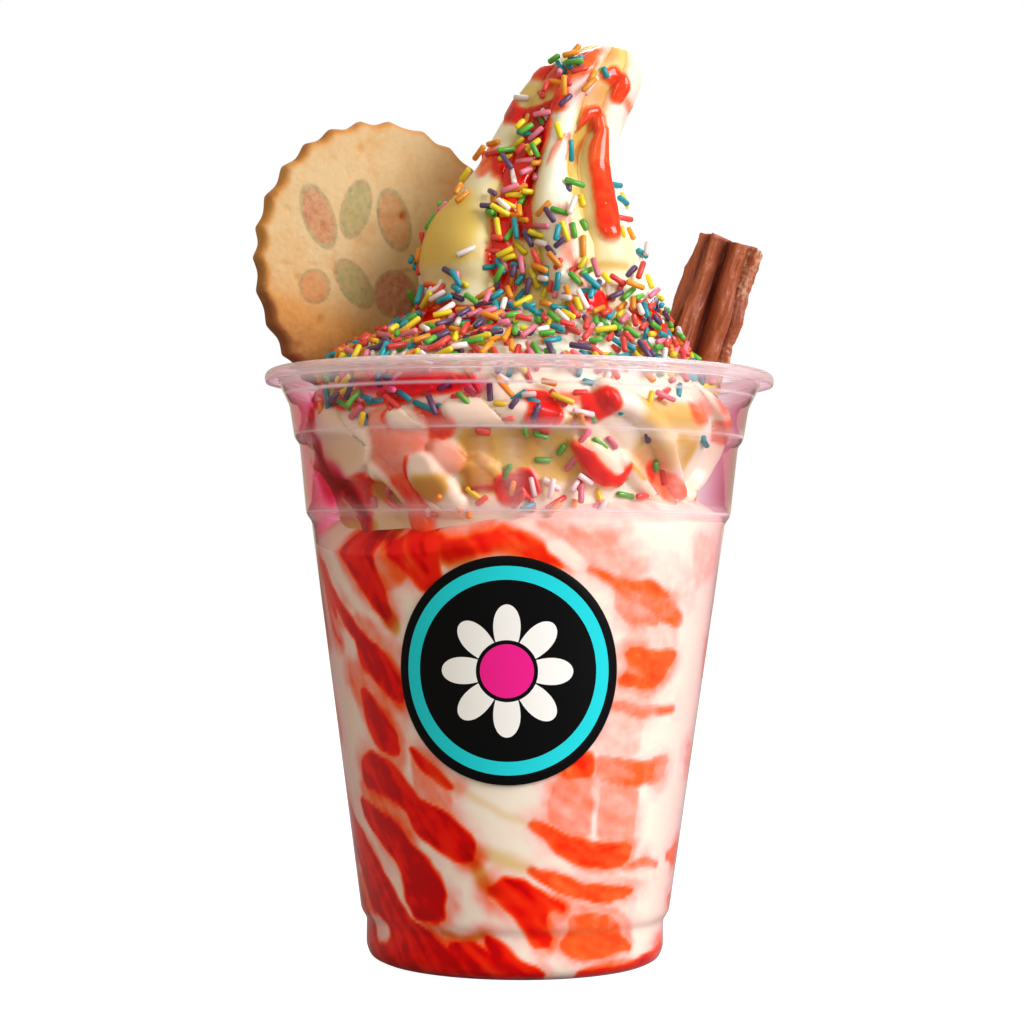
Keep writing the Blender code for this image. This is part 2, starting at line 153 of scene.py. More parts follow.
def bearing_off(bearing: Array, middle: float | Array) -> Array:
    """How far a bearing lies to the right of another, from -180 to 180 degrees."""
    return (bearing - middle + 180.0) % 360.0 - 180.0


def round_axis(radius: Array, turn: Array, height: Array) -> Array:
    """Points at a radius from the axis, at a bearing in radians and at a height."""
    return np.stack((radius * np.sin(turn), -radius * np.cos(turn), height), axis=1)


@dataclass
class Noise:
    """Smooth random values in space, from a seeded lattice."""

    seed: int
    cells: int = 24
    lattice: Array = field(init=False, repr=False)

    def __post_init__(self) -> None:
        """Draws the lattice."""
        self.lattice = np.random.default_rng(self.seed).uniform(-1.0, 1.0, (self.cells,) * 3)

    def at(self, points: Array, size: float) -> Array:
        """Reads the noise.

        Args:
            points: Where to read it.
            size: The distance over which it changes.

        Returns:
            Values from -1 to 1.
        """
        scaled = points / size
        base = np.floor(scaled).astype(int)
        share = scaled - base
        share = share * share * (3.0 - 2.0 * share)
        total = np.zeros(len(points))
        for corner in np.ndindex(2, 2, 2):
            index = (base + corner) % self.cells
            weight = np.prod(np.where(corner, share, 1.0 - share), axis=1)
            total += weight * self.lattice[index[:, 0], index[:, 1], index[:, 2]]
        return total

    def shifts(self, points: Array, coarse: Point, fine: Point) -> list[Array]:
        """How far a mark's edge wanders, across and up.

        Args:
            points: Where the edge lies.
            coarse: Depth and size of the large wandering.
            fine: Depth and size of the small one on it.

        Returns:
            The shift across and the shift up, in millimetres.
        """
        return [
            coarse[0] * self.at(points + far, coarse[1]) + fine[0] * self.at(points + 2 * far, fine[1])
            for far in (40.0, 90.0)
        ]


def deselect() -> None:
    """Deselects every object, the frame's nodes among them."""
    if bpy.context.object and bpy.context.object.mode != "OBJECT":
        bpy.ops.object.mode_set(mode="OBJECT")
    bpy.ops.object.select_all(action="DESELECT")


def new_piece(name: str) -> bpy.types.Object:
    """Names the primitive that was just added.

    Args:
        name: Its new name.

    Returns:
        The primitive.
    """
    made = bpy.context.object
    made.name = made.data.name = name
    return made


def activate(obj: bpy.types.Object) -> None:
    """Makes an object the only one selected.

    Args:
        obj: The object.
    """
    deselect()
    obj.select_set(True)
    bpy.context.view_layer.objects.active = obj


def apply_modifier(obj: bpy.types.Object, kind: str, **settings: object) -> None:
    """Adds a modifier and applies it.

    Args:
        obj: The object that gets it.
        kind: The modifier's type.
        settings: Its properties.
    """
    activate(obj)
    modifier = obj.modifiers.new(kind.lower(), kind)
    for name, value in settings.items():
        setattr(modifier, name, value)
    bpy.ops.object.modifier_apply(modifier=modifier.name)


def corners_of(obj: bpy.types.Object) -> Array:
    """Reads the mesh's corners as they are.

    Args:
        obj: The object.

    Returns:
        One row for each corner, in metres.
    """
    flat = np.empty(len(obj.data.vertices) * 3, np.float32)
    obj.data.vertices.foreach_get("co", flat)
    return flat.reshape(-1, 3).astype(float)


def place(obj: bpy.types.Object, corners: Array) -> None:
    """Moves the mesh's corners to places given in millimetres."""
    obj.data.vertices.foreach_set("co", (corners * MM).astype(np.float32).ravel())
    obj.data.update()


def paint(obj: bpy.types.Object, name: str, values: Array) -> None:
    """Keeps values for the mesh's corners as an attribute, for a finish to read.

    Args:
        obj: The object.
        name: The attribute's name.
        values: A number, or a row of three, for each corner.
    """
    kind, key = ("FLOAT", "value") if values.ndim == 1 else ("FLOAT_VECTOR", "vector")
    layer = obj.data.attributes.new(name, kind, "POINT")
    layer.data.foreach_set(key, values.astype(np.float32).ravel())


def dress(obj: bpy.types.Object, finish: bpy.types.Material, slot: str, *nodes: str) -> None:
    """Gives a piece its finish and its place in the frame.

    Args:
        obj: The piece.
        finish: Its material.
        slot: Not used.
        nodes: The nodes of the solid model that it stands for.
    """
    obj.data.materials.clear()
    obj.data.materials.append(finish)
    obj.data.shade_smooth()
    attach(obj, BODY)
    if nodes:
        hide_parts(*nodes)
    log.info("%s: %d triangles", obj.name, sum(len(p.vertices) - 2 for p in obj.data.polygons))


def wrapped_skin(
    name: str, columns: int, rows: int, crowd: float = 0.0
) -> tuple[bpy.types.Object, Array, Array]:
    """A skin of rings between a bottom and a top pole, still spread flat.

    Args:
        name: The piece's name.
        columns: Faces in a ring.
        rows: Rings of faces from pole to pole.
        crowd: How much closer the columns stand at the front than on average.

    Returns:
        The object, and for each corner its bearing and its share of the way up.
    """
    deselect()
    bpy.ops.mesh.primitive_grid_add(x_subdivisions=columns, y_subdivisions=rows, size=2.0)
    made = new_piece(name)
    x, y, _ = corners_of(made).T
    return made, 180.0 * (x - crowd * np.sin(math.pi * x) / math.pi), (y + 1.0) / 2


def close_skin(obj: bpy.types.Object) -> None:
    """Joins the skin's seam and its poles, and turns its faces outwards.

    Args:
        obj: The skin, with its corners in their places.
    """
    activate(obj)
    bpy.ops.object.mode_set(mode="EDIT")
    bpy.ops.mesh.select_all(action="SELECT")
    bpy.ops.mesh.remove_doubles(threshold=0.001 * MM)
    bpy.ops.mesh.normals_make_consistent(inside=False)
    bpy.ops.object.mode_set(mode="OBJECT")


def settle(
    obj: bpy.types.Object,
    corners: Array,
    finish: bpy.types.Material,
    slot: str,
    *nodes: str,
    **values: Array,
) -> None:
    """Puts a skin in its place, closes it and dresses it.

    Args:
        obj: The skin.
        corners: The places of its corners in millimetres.
        finish: Its material.
        slot: The name of its colour slot.
        nodes: The nodes of the solid model that it stands for.
        values: What its finish reads at each corner, by the attributes' names.
    """
    place(obj, corners)
    for name, value in values.items():
        paint(obj, name, value)
    close_skin(obj)
    dress(obj, finish, slot, *nodes)


# ------------------------------------------------------------------ finishes


@dataclass(frozen=True)
class Finish:
    """A material with a node tree; each finish adds its own nodes in shade()."""

    name: str

    def material(self) -> bpy.types.Material:
        """Makes the material.

        Returns:
            The material.
        """
        made = bpy.data.materials.new(self.name)
        made.use_nodes = True
        made.node_tree.nodes.clear()
        add = partial(add_node, made.node_tree)
        add("OutputMaterial", {"Surface": self.shade(add)})
        return made

    def shade(self, add: AddNode) -> Socket:
        """Builds the shader; each finish has its own."""
        raise NotImplementedError


@dataclass(frozen=True)
class ClearPlastic(Finish):
    """PET sheet, vacuum formed: glass clear and glossy, with a painted pink glow of its filling at its
    edges and sides, and painted highlight lines on its ridges.

    Light for other things passes it straight, so that a thin wall casts no hard shadow.
    """

    name: str = "clear_pet"
    ior: float = 1.5
    roughness: float = 0.02
    sheen: str = "8c8c8c"  # thin and seen through soft light, it mirrors little
    lamp_tint: str = "fff3f5"
    # Painted pink glow of the filling, where the wall turns from the eye.
    painted_edge_glow: str = "ec6f9f"
    edge_facing: Point = (0.42, 0.95)  # where the edge's tint starts, and where it is full
    edge_share: float = 0.85
    # From clear to where syrup has run down the wall, and to the painted pink glow of the filling at its
    # sides.
    stains_and_side_glow: Stops = ((0.0, "fffafb"), (0.5, "f2609c"), (0.8, "d01c50"), (1.0, "a80818"))
    # The white below is also that of the painted highlight lines and streaks.
    smear_and_highlight: str = "f3ebf0"  # where melted cream clouds it
    smear_glow: float = 0.4  # share of the light that a smear lets through
    smear_length: float = 25.0  # millimetres round the wall that a smear reaches
    smear_gap: float = 10.0 / 11.0  # and up it from one to the next
    # Heights of painted highlight lines, where the ridges would catch the lamps.
    painted_highlight_heights: tuple[float, ...] = (112.4, 108.0, 100.3, 85.5)  # the wall's ridges, which catch light
    line_width: float = 0.42  # millimetres from a bright line's middle to where it ends
    line_depth: float = 0.72

    def shade(self, add: AddNode) -> Socket:
        """Clear plastic for the eye with its syrup, painted pink glow, clouding and painted highlights, and
        a tinted pane for lamps.

        Args:
            add: Adds a node to the material and returns its output.

        Returns:
            The shader's output.
        """
        facing = add("LayerWeight", {"Blend": 0.5}, out="Facing")
        glancing = add("MapRange", facing, *self.edge_facing, 0.0, self.edge_share)
        blush = add("Attribute", out="Fac", attribute_name="blush")
        stain_and_glow = add("ValToRGB", blush, stops=self.stains_and_side_glow)
        edged = {"Factor": glancing, "A": stain_and_glow, "B": linear(self.painted_edge_glow)}
        surface = {
            "Base Color": add("Mix", edged, out="Result", data_type="RGBA"),
            "Roughness": self.roughness,
            "IOR": self.ior,
            "Transmission Weight": 1.0,
            "Specular Tint": linear(self.sheen),
        }
        spot = add("TexCoord", out="Object")
        round_wall, up_wall = 1.0 / (self.smear_length * MM), 1.0 / (self.smear_gap * MM)
        lying = add("Mapping", {"Vector": spot, "Scale": (round_wall, round_wall, up_wall)})
        smears_and_highlights = add("TexNoise", {"Vector": lying, "Scale": 1.0, "Detail": 3.0})
        level = add("MapRange", smears_and_highlights, 0.3, 0.7, 0.35, 1.0)
        # The haze attribute holds the clouded rim and the painted highlight rings and streaks.
        haze = add("Attribute", out="Fac", attribute_name="haze")
        share = add("Math", haze, level, operation="MULTIPLY")
        height = add("SeparateXYZ", spot, out="Z")
        # Painted highlight lines along the ridges, in the same white.
        for at in self.painted_highlight_heights:
            above = add("Math", height, at * MM, operation="SUBTRACT")
            off = add("Math", above, operation="ABSOLUTE")
            line = add("MapRange", off, 0.0, self.line_width * MM, self.line_depth, 0.0)
            lit = add("Math", line, level, operation="MULTIPLY")
            share = add("Math", share, lit, operation="MAXIMUM")
        cream = add("BsdfDiffuse", linear(self.smear_and_highlight))
        through = add("BsdfTranslucent", linear(self.smear_and_highlight))
        smear_and_highlight = add("MixShader", self.smear_glow, cream, through)
        wall = add("MixShader", share, add("BsdfPrincipled", surface), smear_and_highlight)
        path = add("LightPath").node.outputs
        lamps = add("Math", path["Is Shadow Ray"], path["Is Diffuse Ray"], operation="MAXIMUM")
        return add("MixShader", lamps, wall, add("BsdfTransparent", linear(self.lamp_tint)))


@dataclass(frozen=True)
class MarbledSoftServe(Finish):
    """Dairy soft serve with strawberry sauce: matt cream, glossy where sauce lies.

    The sauce is a clear syrup, so it looks pink where it is thin and deep red where it is thick.
    Painted shade tints the cream yellow to amber in its folds, dents and furrows and on the side
    away from the lamp, and a painted pink glow stands where the cup's slanting wall shows the sauce.
    """

    name: str = "marbled_soft_serve"
    gloss: float = 0.5  # none where it clings to the cup
    matt: float = 0.42  # roughness of the cream
    wet: float = 0.12  # and of thick sauce
    # Painted shade: cream to yellow to amber, for folds, dents, furrows and the side away from the lamp.
    painted_shade_tints: Stops = ((0.0, "ffffff"), (0.5, "e4c66c"), (1.0, "c98820"))
    # Painted pink glow: the sauce's red as the cup's slanting wall and rim show it, and a pink sheen near
    # the tip.
    painted_glow_tints: Stops = ((0.0, "ffffff"), (0.4, "ffcfd8"), (1.0, "e8437c"))
    layers: Stops = (
        (0.0, "f7f5e0"),
        (0.14, "fae0d2"),
        (0.36, "f9a893"),
        (0.58, "fd6a2a"),
        (0.78, "f62c08"),
        (0.93, "ec0a04"),
        (1.0, "c60004"),
    )
    grain: float = 0.9  # millimetres across one bump of the frozen cream
    grain_depth: float = 0.2
    grain_strength: float = 0.12
    wander: float = 2.6  # and across one wobble of a sauce edge
    wobble: float = 0.07  # how much more or less sauce lies there
    least: float = 0.04  # no sauce where less lies than this

    def shade(self, add: AddNode) -> Socket:
        """Cream with its painted shade and painted pink glow, and the layers of sauce, by the skin's
        attributes.

        Args:
            add: Adds a node to the material and returns its output.

        Returns:
            The shader's output.
        """
        spot = add("TexCoord", out="Object")
        sauce = add("Attribute", out="Fac", attribute_name="sauce")
        wandering = add("TexNoise", {"Vector": spot, "Scale": 1.0 / (self.wander * MM), "Detail": 3.0})
        shift = add("MapRange", wandering, 0.25, 0.75, -self.wobble, self.wobble)
        lies = add("Math", sauce, self.least, operation="GREATER_THAN")
        moved = add("Math", shift, lies, sauce, operation="MULTIPLY_ADD")
        colour = add("ValToRGB", moved, stops=self.layers)
        # Multiplies in the painted shade and the painted pink glow.
        for layer, stops in (("crease", self.painted_shade_tints), ("blush", self.painted_glow_tints)):
            tint = add("ValToRGB", add("Attribute", out="Fac", attribute_name=layer), stops=stops)
            both = {"Factor": 1.0, "A": colour, "B": tint}
            colour = add("Mix", both, out="Result", data_type="RGBA", blend_type="MULTIPLY")
        grain = add("TexNoise", {"Vector": spot, "Scale": 1.0 / (self.grain * MM), "Detail": 2.0})
        relief = {"Height": grain, "Strength": self.grain_strength, "Distance": self.grain_depth * MM}
        surface = {
            "Base Color": colour,
            "Roughness": add("MapRange", moved, 0.2, 0.6, self.matt, self.wet),
            "Normal": add("Bump", relief),
            "Specular IOR Level": self.gloss,
            "Subsurface Weight": 0.2,
            "Subsurface Radius": (1.0, 0.5, 0.25),
            "Subsurface Scale": 1.6 * MM,
        }
        return add("BsdfPrincipled", surface)


@dataclass(frozen=True)
class SugarStrandGlaze(Finish):
    """A pressed sugar strand with a thin confectioner's glaze: an even, slightly waxy colour."""

    name: str = "sugar_strand"
    colour: str = "ff0000"
    roughness: float = 0.32
    tones: Point = (0.78, 1.12)  # how dark and how light a strand may be

    def shade(self, add: AddNode) -> Socket:
        """The strand's colour, each strand a little lighter or darker than the next.

        Args:
            add: Adds a node to the material and returns its output.

        Returns:
            The shader's output.
        """
        tone = add("Attribute", out="Fac", attribute_name="tone")
        value = add("MapRange", tone, 0.0, 1.0, *self.tones)
        surface = {
            "Base Color": add("HueSaturation", {"Value": value, "Color": linear(self.colour)}),
            "Roughness": self.roughness,
            "Subsurface Weight": 0.1,
            "Subsurface Radius": (1.0, 0.6, 0.5),
            "Subsurface Scale": 0.5 * MM,
        }
        return add("BsdfPrincipled", surface)


@dataclass(frozen=True)
class BakedBiscuit(Finish):
    """Shortcrust biscuit, stamped and baked: pale and dry, browned on its teeth, darker towards its lower
    left, with painted shade in its pits and dock hole.
    """

    name: str = "baked_biscuit"
    roughness: float = 0.78
    pale: str = "cfb080"
    golden: str = "c88840"
    brown: str = "8c4c1c"
    crumb: float = 1.1  # millimetres across a crumb
    crumb_depth: float = 0.35
    patch: float = 9.0  # and across a patch of browning
    patch_browning: Point = (-0.12, 0.14)  # how much paler and browner patches are
    crumb_browning: Point = (-0.05, 0.1)
    worn: float = 0.55  # share of the food ink left on the crumbs' tops

    def shade(self, add: AddNode) -> Socket:
        """Browning and painted shade by the skin's attribute, with crumb, freckles and a faded food ink.

        Args:
            add: Adds a node to the material and returns its output.

        Returns:
            The shader's output.
        """
        spot = add("TexCoord", out="Object")
        patches = add("TexNoise", {"Vector": spot, "Scale": 1.0 / (self.patch * MM), "Detail": 4.0})
        crumb = add("TexNoise", {"Vector": spot, "Scale": 1.0 / (self.crumb * MM), "Detail": 4.0})
        uneven = add("MapRange", patches, 0.3, 0.7, *self.patch_browning)
        speckle = add("MapRange", crumb, 0.3, 0.75, *self.crumb_browning)
        together = add("Math", uneven, speckle, operation="ADD")
        # Browning, with painted shade in the pits and the dock hole.
        bake = add("Attribute", out="Fac", attribute_name="bake")
        level = add("Math", bake, together, operation="ADD")
        crust = add("ValToRGB", level, stops=((0.0, self.pale), (1.0, self.brown), (0.5, self.golden)))
        share = add("Attribute", out="Fac", attribute_name="ink_share")
        left = add("MapRange", crumb, 0.3, 0.6, 1.0, self.worn)
        print_share = add("Math", share, left, operation="MULTIPLY")
        ink = add("Attribute", out="Color", attribute_name="ink")
        inked = {"Factor": print_share, "A": crust, "B": ink}
        surface = {
            "Base Color": add("Mix", inked, out="Result", data_type="RGBA", blend_type="MULTIPLY"),
            "Roughness": self.roughness,
            "Normal": add("Bump", {"Height": crumb, "Strength": 0.5, "Distance": self.crumb_depth * MM}),
        }
        return add("BsdfPrincipled", surface)


@dataclass(frozen=True)
class FlakyChocolate(Finish):
    """Milk chocolate, scraped into folds: waxy brown sheets with paler, crumbly torn edges, and painted
    shade where the surface sinks.
    """

    name: str = "flaky_milk_chocolate"
    roughness: float = 0.5
    brown: str = "a04c22"
    dark: str = "571a08"
    torn: str = "e0b48c"
    grain: float = 0.9  # millimetres across a crumb
    grain_depth: float = 0.3

    def shade(self, add: AddNode) -> Socket:
        """Brown with painted shade by how far the surface stands out, paler where it is torn.

        Args:
            add: Adds a node to the material and returns its output.

        Returns:
            The shader's output.
        """
        spot = add("TexCoord", out="Object")
        fold = add("Attribute", out="Fac", attribute_name="fold")
        torn = add("Attribute", out="Fac", attribute_name="torn")
        grain = add("TexNoise", {"Vector": spot, "Scale": 1.0 / (self.grain * MM), "Detail": 4.0})
        # Painted shade: the dark brown where the surface sinks into folds and between sheets.
        sheets = {"Factor": fold, "A": linear(self.dark), "B": linear(self.brown)}
        brown = add("Mix", sheets, out="Result", data_type="RGBA")
        crumbs = add("Math", torn, grain, operation="MULTIPLY")
        edges = {"Factor": add("MapRange", crumbs, 0.22, 0.5), "A": brown, "B": linear(self.torn)}
        surface = {
            "Base Color": add("Mix", edges, out="Result", data_type="RGBA"),
            "Roughness": self.roughness,
            "Normal": add("Bump", {"Height": grain, "Strength": 0.5, "Distance": self.grain_depth * MM}),
        }
        return add("BsdfPrincipled", surface)


@dataclass(frozen=True)
class PrintedLabel(Finish):
    """Coated paper, printed and varnished: flat inks under an even satin gloss.

    Its reaches are shares of the label's radius.
    """

    name: str = "printed_label_paper"
    roughness: float = 0.4
    gloss: float = 0.12
    black: str = "020203"
    ring: str = "22d3dc"
    ring_span: Point = (0.793, 0.913)
    petals: str = "f8f6f2"
    petal_count: int = 8
    petal_span: Point = (0.27, 0.58)
    petal_gap: float = 0.16  # reach of the gap between two petals
    petal_bluntness: float = 0.55
    heart: str = "f0208e"
    heart_reach: float = 0.235

    def shade(self, add: AddNode) -> Socket:
        """A ring and a plain flower on black, by the label's own coordinates.

        Args:
            add: Adds a node to the material and returns its output.

        Returns:
            The shader's output.
        """
        plan = add("Attribute", out="Vector", attribute_name="plan")
        x, y, _ = add("SeparateXYZ", plan).node.outputs
        reach = add("VectorMath", plan, out="Value", operation="LENGTH")
        turn = add("Math", y, x, operation="ARCTAN2")
        half_turns = add("Math", turn, self.petal_count / 2.0, operation="MULTIPLY")
        wave = add("Math", half_turns, operation="COSINE")
        lobe = add("Math", wave, operation="ABSOLUTE")
        blunt = add("Math", lobe, self.petal_bluntness, operation="POWER")
        length = self.petal_span[1] - self.petal_gap
        edge = add("Math", blunt, length, self.petal_gap, operation="MULTIPLY_ADD")
        inside = add("Math", reach, edge, operation="LESS_THAN")
        outside = add("Math", reach, self.petal_span[0], operation="GREATER_THAN")
        petals = add("Math", inside, outside, operation="MULTIPLY")
        heart = add("Math", reach, self.heart_reach, operation="LESS_THAN")
        above = add("Math", reach, self.ring_span[0], operation="GREATER_THAN")
        below = add("Math", reach, self.ring_span[1], operation="LESS_THAN")
        ring = add("Math", above, below, operation="MULTIPLY")
        colour = linear(self.black)
        for share, code in ((ring, self.ring), (petals, self.petals), (heart, self.heart)):
            printed = {"Factor": share, "A": colour, "B": linear(code)}
            colour = add("Mix", printed, out="Result", data_type="RGBA")
        surface = {"Base Color": colour, "Roughness": self.roughness, "Specular IOR Level": self.gloss}
        return add("BsdfPrincipled", surface)


def eye_rays(add: AddNode) -> Socket:
    """1 for what the camera sees, straight or through the clear cup, and 0 for what lights the object.

    Args:
        add: Adds a node to the tree and returns its output.

    Returns:
        The output with that number.
    """
    path = add("LightPath").node.outputs
    either = add("Math", path["Is Camera Ray"], path["Is Transmission Ray"], operation="MAXIMUM")
    return add("Math", either, path["Glossy Depth"], operation="SUBTRACT", use_clamp=True)


@dataclass(frozen=True)
class StudioFloor(Finish):
    """Matt pale paper, lit from below so that the camera sees it as white as the backdrop."""

    name: str = "floor_paper"
    white: str = "9a9a9a"
    glow: float = 0.93

    def shade(self, add: AddNode) -> Socket:
        """An even matt white with a glow that only the camera sees.

        Args:
            add: Adds a node to the material and returns its output.

        Returns:
            The shader's output.
        """
        glow = add("Math", eye_rays(add), self.glow, operation="MULTIPLY")
        lit = add("Emission", {"Strength": glow})
        return add("AddShader", add("BsdfDiffuse", linear(self.white)), lit)


# ------------------------------------------------------------------ marks on skins


class Ink(Enum):
    """What a mark does to the soft serve."""

    SAUCE = "sauce"
    CREAM = "cream"
    # Painted shade: yellow to amber in folds, dents, furrows and on the side away from the lamp.
    CREASE = "crease"
    # Painted pink glow of the sauce seen through the cup's slanting wall and rim, and a pink sheen near the
    # tip.
    BLUSH = "blush"
    RAISE = "raise"


SAUCE, CREAM, CREASE, BLUSH, RAISE = Ink
FILM_REACH = 4.0  # millimetres that a film spreads from thick sauce
FILM_OVERLAP = 0.6  # and that it starts inside it
LEAST_EDGE = 0.7  # millimetres, about as sharp as the mesh can show
KEPT, CUT = 0.82, 0.18  # shares of a side that cutting an outline's corners leaves and takes
CUT_BACK = 0.35  # millimetres that it has taken off the outline
FAR_OFF = 1e3  # millimetres, farther than any mark reaches
BEND_STEPS = 6  # straight parts between two points of a streak
LEAST_HALF = 0.1  # half width of the thinnest streak


@dataclass(frozen=True)
class Mark:
    """A patch on a skin, outlined by bearings and heights in turn.

    Strength is how thickly it lies from 0 to 1, or how far it raises the skin in millimetres.
    Edge is how softly it ends.
    """

    ink: Ink
    strength: float
    edge: float
    points: tuple[float, ...]

    def rows(self) -> Array:
        """The mark's points, one row each."""
        return np.array(self.points, float).reshape(-1, 2)

    def turned(self, turn: float) -> "Mark":
        """The same mark, further round.

        Args:
            turn: How many degrees.

        Returns:
            The new mark.
        """
        rows = self.rows()
        rows[:, 0] += turn
        return replace(self, points=tuple(rows.ravel()))

    def line(self) -> Array:
        """The mark's outline with its corners cut round.

        Returns:
            A row for each point, the first once more at the end.
        """
        rows = self.rows()
        after = np.roll(rows, -1, axis=0)
        cuts = (KEPT * rows + CUT * after, CUT * rows + KEPT * after)
        line = np.stack(cuts, axis=1).reshape(-1, 2)
        return np.vstack((line, line[:1]))

    def gap(self, bearing: Array, level: Array, arc: Array) -> Array:
        """How far places lie outside the mark.

        Args:
            bearing: Their bearings.
            level: Their heights.
            arc: Millimetres to a degree at each place.

        Returns:
            The distance to the outline in millimetres, below 0 inside it.
        """
        line = self.line()
        nearest, inside = np.full(len(level), FAR_OFF), np.zeros(len(level), bool)
        for a, b in zip(line, line[1:]):
            nearest = np.minimum(nearest, beside(a, b, bearing, level, arc)[0])
            if a[1] != b[1]:
                crossing = a[0] + (level - a[1]) * (b[0] - a[0]) / (b[1] - a[1])
                inside ^= ((a[1] > level) != (b[1] > level)) & (bearing < crossing)
        return np.where(inside, -nearest, nearest) - CUT_BACK


@dataclass(frozen=True)
class Stroke(Mark):
    """A streak through points of bearing, height and half width in turn."""

    def rows(self) -> Array:
        """The streak's points, one row each."""
        return np.array(self.points, float).reshape(-1, 3)

    def line(self) -> Array:
        """Points close together along the bent streak.

        Returns:
            A row for each, with the half width there.
        """
        rows = self.rows()
        ends = np.vstack((2 * rows[0] - rows[1], rows, 2 * rows[-1] - rows[-2]))
        parts = []
        shares = np.linspace(0.0, 1.0, BEND_STEPS + 1)[:-1, None]
        for a, b, c, d in zip(ends, ends[1:], ends[2:], ends[3:]):
            bend = (2 * a - 5 * b + 4 * c - d) * shares**2 + (3 * b - a - 3 * c + d) * shares**3
            parts.append(0.5 * (2 * b + (c - a) * shares + bend))
        return np.vstack(parts + [rows[-1:]])

    def gap(self, bearing: Array, level: Array, arc: Array) -> Array:
        """How far places lie outside the streak.

        Args:
            bearing: Their bearings.
            level: Their heights.
            arc: Millimetres to a degree at each place.

        Returns:
            The distance to the streak's edge in millimetres, below 0 inside it.
        """
        line = self.line()
        nearest = np.full(len(level), FAR_OFF)
        for a, b in zip(line, line[1:]):
            distance, share = beside(a, b, bearing, level, arc)
            nearest = np.minimum(nearest, distance - np.maximum(LEAST_HALF, a[2] + (b[2] - a[2]) * share))
        return nearest


@dataclass(frozen=True)
class Spot:
    """A soft round spot on a skin: its middle, its spreads and how much it adds there."""

    bearing: float
    height: float
    bearing_spread: float
    height_spread: float
    amount: float

    def at(self, bearing: Array, height: Array) -> Array:
        """What the spot adds.

        Args:
            bearing: The places' bearings.
            height: Their heights.

        Returns:
            How much it adds at each.
        """
        off = bearing_off(bearing, self.bearing) / self.bearing_spread
        up = (height - self.height) / self.height_spread
        return self.amount * np.exp(-(off**2) - up**2)


def beside(a: Array, b: Array, bearing: Array, level: Array, arc: Array) -> tuple[Array, Array]:
    """Where places lie beside a line.

    Args:
        a: The line's first point.
        b: Its last point.
        bearing: The places' bearings.
        level: Their heights.
        arc: Millimetres to a degree at each.

    Returns:
        Their distances from the line, and how far along it they lie.
    """
    run, rise = (b[0] - a[0]) * arc, b[1] - a[1]
    across, up = (bearing - a[0]) * arc, level - a[1]
    share = np.clip((across * run + up * rise) / np.maximum(1e-9, run**2 + rise**2), 0.0, 1.0)
    return np.hypot(across - share * run, up - share * rise), share


def lay(
    marks: Sequence[Mark],
    bearing: Array,
    level: Array,
    arc: Array,
    film: Array | None = None,
    spread: float = 0.0,
) -> dict[Ink, Array]:
    """Works out how thickly each corner of a skin is covered by marks.

    Args:
        marks: The marks, the first at the bottom.
        bearing: The corners' bearings.
        level: Their heights.
        arc: Millimetres to a degree at each.
        film: How thick a film spreads from sauce at each, against the sauce itself.
        spread: How far each mark has run beyond its outline.

    Returns:
        For each ink what it adds up to at each corner.
    """
    laid = {ink: np.zeros(len(level)) for ink in Ink}
    for mark in marks:
        line, edge = mark.line(), max(mark.edge, LEAST_EDGE)
        low, high = line.min(0), line.max(0)
        margin = max(edge, FILM_REACH) + (high[2] if len(high) > 2 else 0.0)
        middle, half = (low + high) / 2, (high - low) / 2
        off = bearing_off(bearing, middle[0])
        near = np.abs(off) < half[0] + margin / arc
        near &= np.abs(level - middle[1]) < half[1] + margin
        near = near.nonzero()[0]
        gap = mark.gap(off[near] + middle[0], level[near], arc[near]) - spread
        if mark.ink is RAISE:
            depth = np.clip(-gap / mark.edge, 0.0, 1.0)
            cover = mark.strength * np.sqrt(depth * (2.0 - depth))
        else:
            cover = mark.strength * fade(-edge, edge, -gap)
        if mark.ink is SAUCE and film is not None:
            thin = mark.strength * film[near] * (1.0 - fade(-FILM_OVERLAP, FILM_REACH, gap))
            cover = np.maximum(cover, thin)
        if mark.ink is CREAM:
            laid[SAUCE][near] *= 1.0 - cover
        else:
            laid[mark.ink][near] = np.maximum(laid[mark.ink][near], cover)
    return laid


# ------------------------------------------------------------------ the cup


